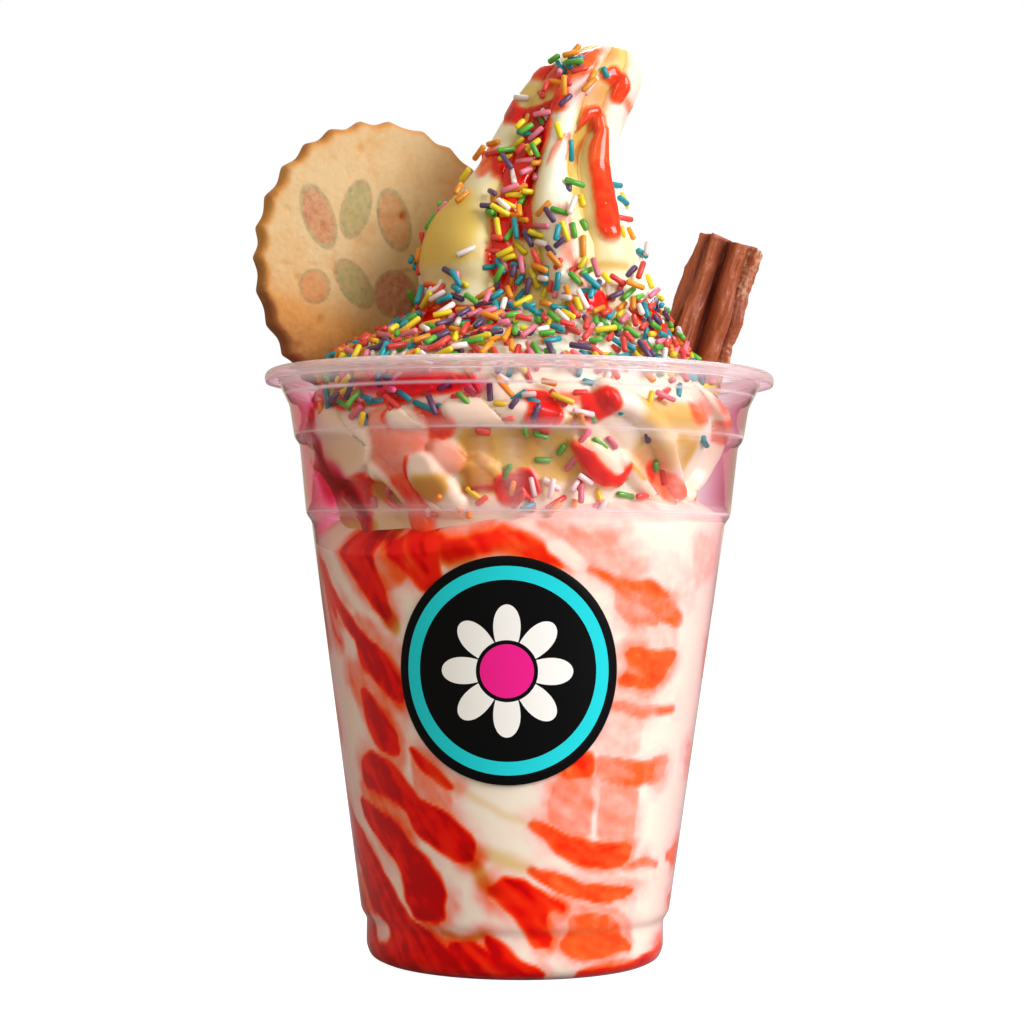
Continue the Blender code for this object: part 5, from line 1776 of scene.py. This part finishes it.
@dataclass
class SugarStrands:
    """Short sugar rods, scattered in drifts over the peak, the mound and the ledge."""

    peak: Peak
    biscuit: "Biscuit"
    chocolate: "ChocolateStick"
    radius: float = 0.56
    bevel: float = 0.22
    lengths: Point = (2.3, 4.5)
    sides: int = 8
    tries: int = 40000
    full_layer: float = 0.1  # share of the tries that makes one full layer
    layers: int = 4
    first_layer: float = 0.6  # radii from the skin to the middle of a strand that lies on it
    next_layer: float = 1.1  # and from there to the middle of one that lies on others
    tilt: float = 0.2
    touch: float = 0.9  # least distance between two middle lines
    samples: int = 9  # places along a strand where that is measured
    cell: float = 5.6
    band: Point = (86.0, 175.0)
    few: float = 0.04  # cover where there is no drift
    mound_cover: float = 8.0
    mound: Band = (109.0, 114.0, 122.0, 128.0)

    # The drifts, with how thickly strands lie in each.
    DRIFTS = (
        Spot(-22, 144, 9, 9, 3.2),
        Spot(5, 138, 13, 5, 2.2),
        Spot(0, 132, 17, 5, 3.4),
        Spot(6, 128, 20, 4, 3.4),
        Spot(-30, 158, 18, 6, 2.8),
        Spot(-45, 157, 12, 6, 0.4),
        Spot(-20, 170, 26, 4.5, 3.0),
        Spot(12, 161, 6, 4, 0.7),
        Spot(20, 147, 8, 2.5, 1.0),
        Spot(64, 138, 9, 9, 0.6),
        Spot(-88, 140, 7, 9, 1.4),
        Spot(-60, 127, 20, 3, 1.0),
        Spot(40, 128, 22, 3, 1.4),
        Spot(-38, 127, 20, 3, 1.0),
        Spot(150, 140, 50, 14, 0.3),
        Spot(215, 150, 40, 16, 0.3),
        Spot(6, 88, 25, 2.4, 2.4),
        Spot(-12, 105, 18, 2.0, 1.7),
        Spot(14, 104, 18, 4, 1.0),
        Spot(-48, 105, 16, 2.5, 1.3),
        Spot(-45, 108, 10, 2.5, 2.2),
        Spot(-48, 95, 16, 8, 0.25),
        Spot(10, 96, 16, 4, 0.35),
        Spot(0, 109, 180, 3, 0.35),
    )

    # Places on the mound that stay bare: bearing, height and radius.
    BARE = (
        (-52.0, 121.5, 4.2),
        (-76.0, 123.0, 3.4),
        (31.0, 124.0, 3.6),
        (68.0, 121.0, 4.4),
        (-2.0, 124.5, 3.2),
        (16.0, 115.0, 2.4),
        (30.0, 114.6, 2.2),
        (2.0, 115.2, 2.0),
    )

    def cover(self, bearing: Array, height: Array) -> Array:
        """How thickly the strands lie.

        Args:
            bearing: The places' bearings.
            height: Their heights.

        Returns:
            The cover at each, 1 for a full layer.
        """
        total = self.few + self.mound_cover * within(self.mound, height)
        for drift in self.DRIFTS:
            total = total + drift.at(bearing, height)
        return total

    def rod(self) -> tuple[Array, list[tuple[int, ...]]]:
        """Models one strand of unit length along X.

        Returns:
            Its corners in millimetres, and for each face its corners' numbers.
        """
        deselect()
        bpy.ops.mesh.primitive_cylinder_add(
            vertices=self.sides, radius=self.radius * MM, depth=MM, rotation=(0.0, math.pi / 2, 0.0)
        )
        made = new_piece("rod")
        bpy.ops.object.transform_apply(location=True, rotation=True, scale=True)
        corners = corners_of(made) / MM
        faces = [tuple(p.vertices) for p in made.data.polygons]
        bpy.data.objects.remove(made, do_unlink=True)
        return corners, faces

    def clear(self, spots: Array) -> bool:
        """Whether a strand touches neither topping nor cup.

        Args:
            spots: Points along it.

        Returns:
            True where it touches nothing.
        """
        if self.biscuit.holds(spots) or self.chocolate.holds(spots):
            return False
        low = spots[:, 2] < self.peak.cup.rim_top + 1.0
        if not low.any():
            return True
        reach = np.linalg.norm(spots[low, :2], axis=1)
        return bool(np.all(reach < self.peak.cup.inner_radius(spots[low, 2]) - self.radius - 0.1))

    def drawn(self) -> tuple[Array, Array, Array, Array]:
        """Draws where strands may lie.

        Returns:
            Their places on the skin, the skin's directions outwards there, the strands' own
            directions and their lengths.
        """
        draw = np.random.default_rng(SEED)
        bearings = draw.uniform(-180.0, 180.0, self.tries)
        heights = draw.uniform(*self.band, self.tries)
        ends = self.peak.ring_ends(heights)
        widths = (ends[:, 2] - ends[:, 0]) / 2
        chance = self.full_layer * self.cover(bearings, heights) * widths / widths.max()
        wanted = draw.random(self.tries) < chance
        bearings, heights = bearings[wanted], heights[wanted]
        spots = self.peak.point(bearings, heights)
        out, side, up, _ = self.peak.outward(bearings, heights)
        turns = draw.uniform(0.0, math.pi, len(spots))
        lengths = draw.uniform(*self.lengths, len(spots))
        tilts = draw.normal(0.0, self.tilt, len(spots))
        along = np.cos(turns)[:, None] * side + np.sin(turns)[:, None] * up + tilts[:, None] * out
        return spots, out, along / np.linalg.norm(along, axis=1)[:, None], lengths

    def scatter(self) -> list[tuple[Array, Array, float]]:
        """Lays the strands one by one, none inside another.

        Returns:
            The middle, the direction and the length of each.
        """
        bare = np.array(self.BARE)
        bare_spots = self.peak.point(bare[:, 0], bare[:, 1])
        lies: list[tuple[Array, Array, float]] = []
        cells: dict[tuple[int, ...], list[int]] = {}
        lines = np.empty((self.tries, self.samples, 3))
        samples = np.linspace(-0.5, 0.5, self.samples)[:, None]
        around = [np.array(step) - 1 for step in np.ndindex(3, 3, 3)]
        for spot, normal, way, length in zip(*self.drawn()):
            if np.any(np.linalg.norm(bare_spots - spot, axis=1) < bare[:, 2]):
                continue
            cell = np.floor(spot / self.cell).astype(int)
            others = lines[[i for step in around for i in cells.get(tuple(cell + step), ())]]
            for layer in range(self.layers):
                middle = spot + normal * self.radius * (self.first_layer + self.next_layer * layer)
                line = middle + samples * length * way
                if len(others):
                    gaps = np.linalg.norm(line[None, :, None] - others[:, None], axis=3)
                    if gaps.min() < self.touch:
                        continue
                if self.clear(line):
                    cells.setdefault(tuple(cell), []).append(len(lies))
                    lines[len(lies)] = line
                    lies.append((middle, way, length))
                break
        return lies

    def build(self) -> None:
        """Builds one piece of strands for each colour."""
        corners, faces = self.rod()
        draw = np.random.default_rng(SEED + 1)
        lies = self.scatter()
        kinds = list(StrandColour)
        weights = np.array([kind.value[1] for kind in kinds], float)
        picks = draw.choice(len(kinds), len(lies), p=weights / weights.sum())
        for number, kind in enumerate(kinds):
            places, tones, loops = [], [], []
            for pick, (middle, way, length) in zip(picks, lies):
                if pick != number:
                    continue
                turn = np.array(Vector(way).to_track_quat("X", "Z").to_matrix())
                base = len(places) * len(corners)
                places.append((corners * (length, 1.0, 1.0)) @ turn.T + middle)
                tones.append(np.full(len(corners), draw.random()))
                loops += [tuple(base + i for i in face) for face in faces]
            mesh = bpy.data.meshes.new("strands")
            mesh.from_pydata((np.vstack(places) * MM).tolist(), [], loops)
            colour = kind.name.lower()
            made = bpy.data.objects.new(f"strands_{colour}", mesh)
            bpy.context.scene.collection.objects.link(made)
            paint(made, "tone", np.concatenate(tones))
            ends = {"limit_method": "ANGLE", "angle_limit": math.radians(50)}
            apply_modifier(made, "BEVEL", width=self.bevel * MM, segments=1, **ends)
            glaze = SugarStrandGlaze(f"sugar_strand_{colour}", kind.value[0])
            dress(made, glaze.material(), "soft_serve")
        log.info("%d strands", len(lies))


# ------------------------------------------------------------------ the biscuit


@dataclass(frozen=True)
class Leaf:
    """A round leaf of the biscuit's print: its middle, half its width and height, turn and ink."""

    x: float
    y: float
    half: float
    tall: float
    turn: float
    ink: str


@dataclass
class Biscuit:
    """The fluted round biscuit at the back left, with a faded food-ink print."""

    noise: Noise
    radius: float = 29.1
    oval: float = 0.03
    oval_turn: float = math.radians(125.0)
    thickness: float = 4.6
    teeth: int = 28
    tooth_depth: float = 1.1
    tooth_round: float = 9.0  # size in the noise of the round that the teeth wander on
    middle: Place = (-26.0, 8.0, 133.0)
    yaw: float = math.radians(31.0)
    lean: float = math.radians(-1.5)
    edge: float = 1.6  # radius of the rounded edge
    edge_share: float = 0.18  # share of the rows on it
    columns: int = 448
    rows: int = 120
    room: float = 0.8
    pit: float = 0.8
    dock: Point = (2.0, 11.0)  # the hole pricked before baking
    dock_depth: float = 0.9
    outline: str = "7d9484"
    filled: float = 0.75  # how thickly a leaf is inked
    outlined: float = 0.6

    SPRIG = (
        Leaf(-16.5, 9.5, 3.2, 6.2, 25.0, "cf6e58"),
        Leaf(-8.5, 11.5, 3.0, 5.6, -16.0, "9cbf94"),
        Leaf(0.0, 10.0, 3.4, 6.0, 18.0, "e2a06c"),
        Leaf(-17.0, -4.0, 3.2, 3.2, 0.0, "e8a06a"),
        Leaf(-8.5, -3.0, 3.0, 5.2, 40.0, "9cbf94"),
        Leaf(0.5, -4.5, 4.6, 4.6, 0.0, "cf4458"),
    )

    def turn(self) -> Array:
        """The turn that stands the flat biscuit up."""
        stand = Matrix.Rotation(math.pi / 2 - self.lean, 3, "X")
        return np.array(Matrix.Rotation(self.yaw, 3, "Z") @ stand)

    def reach(self, turn: Array) -> Array:
        """The edge with its teeth.

        Args:
            turn: Turns round the biscuit's middle, in radians.

        Returns:
            The radius at each.
        """
        oval = self.radius * (1.0 + self.oval * np.cos(2 * (turn - self.oval_turn)))
        size = self.tooth_round
        around = np.stack((size * np.cos(turn), size * np.sin(turn), 0.0 * turn), axis=1)
        wander, uneven = self.noise.at(around, 3.0), self.noise.at(around + 50.0, 2.4)
        hollow = np.abs(np.sin(self.teeth * turn / 2 + 0.5 * wander)) ** 1.3
        return oval - self.tooth_depth * (0.75 + 0.35 * uneven) * hollow

    def holds(self, spots: Array) -> bool:
        """Whether points touch the biscuit.

        Args:
            spots: Points in the sundae's frame.

        Returns:
            True if any of them lies in the biscuit or just beside it.
        """
        flat = (spots - np.array(self.middle)) @ self.turn()
        near = np.abs(flat[:, 2]) < self.thickness / 2 + self.room
        return bool(np.any(near & (np.linalg.norm(flat[:, :2], axis=1) < self.radius + self.room)))

    def print_on(self, x: Array, y: Array) -> tuple[Array, Array]:
        """The faded print: a plain sprig of round leaves and dots.

        Args:
            x: Places across the face, in millimetres to the right of its middle.
            y: Places up the face.

        Returns:
            The ink's colour and how thickly it lies, at each place.
        """
        colour = np.ones((len(x), 3))
        share = np.zeros(len(x))
        outline = np.array(linear(self.outline)[:3])
        for leaf in self.SPRIG:
            turn = math.radians(leaf.turn)
            c, s, across, up = math.cos(turn), math.sin(turn), x - leaf.x, y - leaf.y
            reach = np.hypot((across * c + up * s) / leaf.half, (up * c - across * s) / leaf.tall)
            off = (reach - 1.0) * min(leaf.half, leaf.tall)
            fill = 1.0 - fade(-0.3, 0.1, off)
            ring = 1.0 - fade(0.15, 0.5, np.abs(off))
            colour += fill[:, None] * (np.array(linear(leaf.ink)[:3]) - colour)
            colour += ring[:, None] * (outline - colour)
            share = np.maximum(share, np.maximum(self.filled * fill, self.outlined * ring))
        return colour, share

    def build(self, finish: bpy.types.Material) -> None:
        """Builds the biscuit flat, stands it up and marks its browning, painted shade and print.

        Args:
            finish: The baked biscuit's material.
        """
        made, bearing, share = wrapped_skin("fluted_biscuit", self.columns, self.rows)
        turn = np.radians(bearing)
        rim = self.reach(turn)
        way = np.abs(2.0 * share - 1.0)  # 1 at the middle of a face and 0 on the edge
        side = np.sign(share - 0.5)
        inward = np.clip((way - self.edge_share) / (1.0 - self.edge_share), 0.0, 1.0)
        arc = np.clip(way / self.edge_share, 0.0, 1.0) * math.pi / 2
        radius = (rim - self.edge * (1.0 - np.cos(arc))) * (1.0 - inward)
        level = side * (self.thickness / 2) * np.sin(arc) ** 0.8
        x, y = radius * np.cos(turn), radius * np.sin(turn)
        flat = np.stack((x, y, level), axis=1)
        pits = np.clip(self.noise.at(flat, 2.6) - 0.55, 0.0, 1.0) * self.pit
        pits += 0.12 * self.noise.at(flat, 6.0) + 0.05 * self.noise.at(flat, 1.2)
        dock = np.exp(-((x - self.dock[0]) ** 2 + (y - self.dock[1]) ** 2) / 0.7)
        level -= side * np.clip(way * 4.0, 0.0, 1.0) * (pits + self.dock_depth * dock + 0.1)
        flat[:, 2] = level
        stood = flat @ self.turn().T + np.array(self.middle)
        # Browned on the teeth, darker towards the lower left, and painted shade in the pits and the dock
        # hole.
        tooth = 1.0 - fade(0.3, 2.0, rim - radius)
        low = fade(-2.0, 22.0, -(y * 0.9 + 4.0) - 0.25 * x)
        pit_shade = 0.5 * np.clip(pits, 0.0, 1.0)
        bake = np.clip(0.5 * tooth + 0.95 * low + pit_shade + 0.8 * dock, 0.0, 1.0)
        colour, ink = self.print_on(x, y)
        values = {"bake": bake, "ink": colour, "ink_share": ink * (side > 0)}
        settle(made, stood, finish, "biscuit", "biscuit", **values)


# ------------------------------------------------------------------ the chocolate


@dataclass(frozen=True)
class Fold:
    """A groove down the stick: its bearing, depth and half width in degrees."""

    bearing: float
    depth: float
    spread: float


@dataclass
class ChocolateStick:
    """The stick of folded chocolate."""

    noise: Noise
    foot: Place = (26.8, 6.0, 94.5)
    top: Place = (41.3, 6.0, 138.8)
    widths: Point = (16.4, 13.8)  # at the foot and at the top
    depths: Point = (11.5, 10.0)
    roundness: Point = (0.97, 0.1)  # reach at the faces' middles, and how much more at the corners
    fold_sway: float = 7.0  # degrees that a fold wanders
    sheet: float = 0.8  # millimetres between two sheets of the fold
    crumb: float = 0.8
    lump: float = 0.5
    end_rise: float = 0.7
    noise_radius: float = 6.0
    noise_length: float = 44.0
    noise_stretch: float = 0.16  # sheets run along the stick
    columns: int = 320
    rows: int = 240
    end_share: float = 0.12  # share of the rows on each end
    room: float = 1.0

    FOLDS = (Fold(-48, 1.4, 8), Fold(-6, 3.0, 12), Fold(44, 1.6, 9), Fold(118, 1.4, 12), Fold(200, 1.8, 14))

    def axes(self) -> tuple[Array, Array, Array, float]:
        """How the stick stands.

        Returns:
            The directions along it, across it and into the depth, and its length.
        """
        along = np.array(self.top) - np.array(self.foot)
        length = float(np.linalg.norm(along))
        along /= length
        into = np.array((0.0, 1.0, 0.0))
        return along, np.cross(into, along), into, length

    def holds(self, spots: Array) -> bool:
        """Whether points touch the stick.

        Args:
            spots: Points in the sundae's frame.

        Returns:
            True if any of them lies in the stick or just beside it.
        """
        _, across, into, _ = self.axes()
        off = spots - np.array(self.foot)
        u = off @ across / (self.widths[0] / 2 + self.room)
        v = off @ into / (self.depths[0] / 2 + self.room)
        return bool(np.any(np.hypot(u, v) < 1.0))

    def build(self, finish: bpy.types.Material) -> None:
        """Builds the stick with its folds, sheets and torn ends.

        Args:
            finish: The chocolate's material.
        """
        made, bearing, share = wrapped_skin("chocolate_stick", self.columns, self.rows)
        along, across, into, length = self.axes()
        way = np.clip((share - self.end_share) / (1.0 - 2 * self.end_share), 0.0, 1.0)
        closing = np.minimum(1.0, np.minimum(share, 1.0 - share) / self.end_share)
        turn = np.radians(bearing)
        width = self.widths[0] + (self.widths[1] - self.widths[0]) * way
        depth = self.depths[0] + (self.depths[1] - self.depths[0]) * way
        reach = self.roundness[0] + self.roundness[1] * np.abs(np.sin(2 * turn)) ** 1.5
        groove = np.zeros(len(way))
        for fold in self.FOLDS:
            wander = fold.bearing + self.fold_sway * np.sin(4.0 * way + fold.bearing)
            groove += fold.depth * np.exp(-((bearing_off(bearing, wander) / fold.spread) ** 2))
        x, y = self.noise_radius * np.sin(turn), self.noise_radius * np.cos(turn)
        solid = np.stack((x, y, self.noise_length * way), axis=1)
        rolled = np.stack((x, y, self.noise_length * way * self.noise_stretch), axis=1)
        sheets = np.abs(self.noise.at(rolled, 1.1)) + 0.5 * np.abs(self.noise.at(rolled + 30.0, 0.55))
        crumbs = np.abs(self.noise.at(solid, 1.0))
        torn = np.clip(0.9 - 1.4 * way, 0.0, 1.0) * fade(-10.0, 60.0, bearing) + 0.25 * fade(0.9, 1.0, way)
        torn += 0.3 * np.clip(self.noise.at(solid + 60.0, 4.0), 0.0, 1.0) + 0.3 * fade(24.0, 60.0, bearing)
        lumps = self.noise.at(solid * (1.0, 1.0, 0.5) + 90.0, 3.2)
        sunk = groove + self.sheet * sheets + self.crumb * torn * crumbs + self.lump * lumps
        rounded = np.sqrt(np.clip(1.0 - (1.0 - closing) ** 6, 0.0, 1.0))
        flatten = np.where(closing < 1.0, closing**0.6, 1.0) * rounded
        out_x = np.maximum(0.5, width / 2 * reach - sunk) * flatten
        out_y = np.maximum(0.5, depth / 2 * reach - sunk) * flatten
        rise = self.end_rise * self.noise.at(solid + 10.0, 2.0) * (closing < 1.0)
        height = way * length + rise * np.sign(share - 0.5)
        corners = np.array(self.foot) + np.outer(height, along)
        corners = corners + np.outer(np.sin(turn) * out_x, across) - np.outer(np.cos(turn) * out_y, into)
        # From 0 deep in the folds and between sheets to 1 standing out, for the finish's painted shade.
        fold = np.clip(1.1 - 0.32 * groove - 0.35 * sheets, 0.0, 1.0)
        torn = np.clip(torn + 0.4 * sheets * torn, 0.0, 1.0)
        settle(made, corners, finish, "chocolate", "chocolate", fold=fold, torn=torn)


# ------------------------------------------------------------------ the label


@dataclass
class Label:
    """The round label on the front of the cup."""

    cup: Cup
    radius: float = 20.6
    middle: float = 56.8
    bearing: float = -3.0
    thickness: float = 0.18
    lift: float = 0.03  # glue between the cup and the paper
    faces: float = 0.96  # share of the rows on the label's two faces
    columns: int = 144
    rows: int = 40

    def build(self, finish: bpy.types.Material) -> None:
        """Builds the label as a thin disc, bent round the cup's taper.

        Args:
            finish: The printed paper's material.
        """
        made, bearing, share = wrapped_skin("round_label", self.columns, self.rows)
        turn = np.radians(bearing)
        way = 1.0 - np.abs(2.0 * share - 1.0)
        reach = self.radius * np.clip(way / self.faces, 0.0, 1.0)
        front = fade(0.44, 0.56, share)
        across, up = reach * np.sin(turn), -reach * np.cos(turn)
        height = self.middle + up
        outer = self.cup.inner_radius(height) + self.cup.wall
        radius = outer + self.lift + self.thickness * front
        corners = round_axis(radius, np.radians(self.bearing) + across / outer, height)
        plan = np.stack((across, up, 0.0 * up), axis=1) / self.radius
        settle(made, corners, finish, "label", "label", plan=plan)


# ------------------------------------------------------------------ the studio


@dataclass(frozen=True)
class Softbox:
    """A rectangular lamp, named for where it stands, aimed at the object's middle.

    Its place and size are in metres and its power in watts.
    """

    name: str
    place: Place
    size: Point
    power: float
    colour: str = "f4f7ff"


@dataclass
class Studio:
    """White floor, white surroundings, soft lamps and the camera, with places in metres."""

    floor_radius: float = 3.0
    aim: Place = (0.0, 0.0, 0.09)
    camera_place: Place = (-0.0012, -0.478, 0.0775)
    lens: float = 87.0
    nearest: float = 0.01
    pitch: float = 1.0
    yaw: float = 0.0
    roll: float = 0.45
    backdrop: float = 1.0
    backdrop_colour: str = "ffffff"
    ambient: float = 0.6
    ambient_colour: str = "fff1d4"
    mirrored: float = 0.6  # of the surroundings in what shines, as dark screens would leave

    SOFTBOXES = (
        Softbox("key_right", (0.72, -0.5, 0.5), (0.5, 0.6), 10.0),
        Softbox("window_front", (-0.12, -0.9, 0.35), (0.16, 0.5), 0.9),
        Softbox("strip_right", (0.62, -0.5, 0.1), (0.03, 0.4), 0.5),
        Softbox("back_top", (0.1, 0.6, 0.7), (0.5, 0.4), 3.0),
    )

    def build(self) -> None:
        """Sets up everything round the object."""
        deselect()
        bpy.ops.mesh.primitive_circle_add(vertices=96, radius=self.floor_radius, fill_type="NGON")
        floor = new_piece("studio_floor")
        floor.data.materials.append(StudioFloor().material())
        self.light()
        self.surround()
        self.shoot()

    def light(self) -> None:
        """Adds the lamps."""
        for box in self.SOFTBOXES:
            lamp = bpy.data.lights.new(box.name, "AREA")
            lamp.shape = "RECTANGLE"
            lamp.size, lamp.size_y = box.size
            lamp.energy = box.power
            lamp.color = linear(box.colour)[:3]
            holder = bpy.data.objects.new(box.name, lamp)
            holder.location = box.place
            way = Vector(self.aim) - Vector(box.place)
            holder.rotation_euler = way.to_track_quat("-Z", "Y").to_euler()
            bpy.context.scene.collection.objects.link(holder)

    def surround(self) -> None:
        """Puts the object in pale surroundings, which the camera sees as white."""
        world = bpy.data.worlds.new("studio")
        world.use_nodes = True
        world.node_tree.nodes.clear()
        add = partial(add_node, world.node_tree)
        seen = eye_rays(add)
        glossy = add("LightPath", out="Is Glossy Ray")
        lit = add("MapRange", {0: glossy, 3: self.ambient, 4: self.mirrored})
        strength = add("MapRange", {0: seen, 3: lit, 4: self.backdrop})
        tints = {"Factor": seen, "A": linear(self.ambient_colour), "B": linear(self.backdrop_colour)}
        colour = add("Mix", tints, out="Result", data_type="RGBA")
        sky = add("Background", {"Color": colour, "Strength": strength})
        add("OutputWorld", {"Surface": sky})
        bpy.context.scene.world = world
        bpy.context.scene.view_settings.view_transform = "Standard"

    def shoot(self) -> None:
        """Adds the camera, level with the cup's upper half and looking slightly up."""
        data = bpy.data.cameras.new("camera")
        data.lens = self.lens
        data.clip_start = self.nearest
        camera = bpy.data.objects.new("camera", data)
        turn = Matrix.Rotation(math.radians(self.yaw), 4, "Z")
        turn = turn @ Matrix.Rotation(math.radians(90.0 + self.pitch), 4, "X")
        turn = turn @ Matrix.Rotation(math.radians(self.roll), 4, "Z")
        camera.matrix_world = Matrix.Translation(self.camera_place) @ turn
        bpy.context.scene.collection.objects.link(camera)
        bpy.context.scene.camera = camera


def main() -> None:
    """Builds the sundae's pieces in order, then the studio."""
    logging.basicConfig(level=logging.INFO, format="%(name)s: %(message)s")
    noise = Noise(SEED)
    cup = Cup()
    cup.build(ClearPlastic().material())
    filling = Filling(cup, noise)
    filling.build(MarbledSoftServe("soft_serve_on_the_wall", 0.0).material())
    peak = Peak(cup, filling, noise)
    peak.build(MarbledSoftServe().material())
    biscuit = Biscuit(noise)
    biscuit.build(BakedBiscuit().material())
    chocolate = ChocolateStick(noise)
    chocolate.build(FlakyChocolate().material())
    Label(cup).build(PrintedLabel().material())
    SugarStrands(peak, biscuit, chocolate).build()
    Studio().build()


if __name__ == "__main__":
    main()
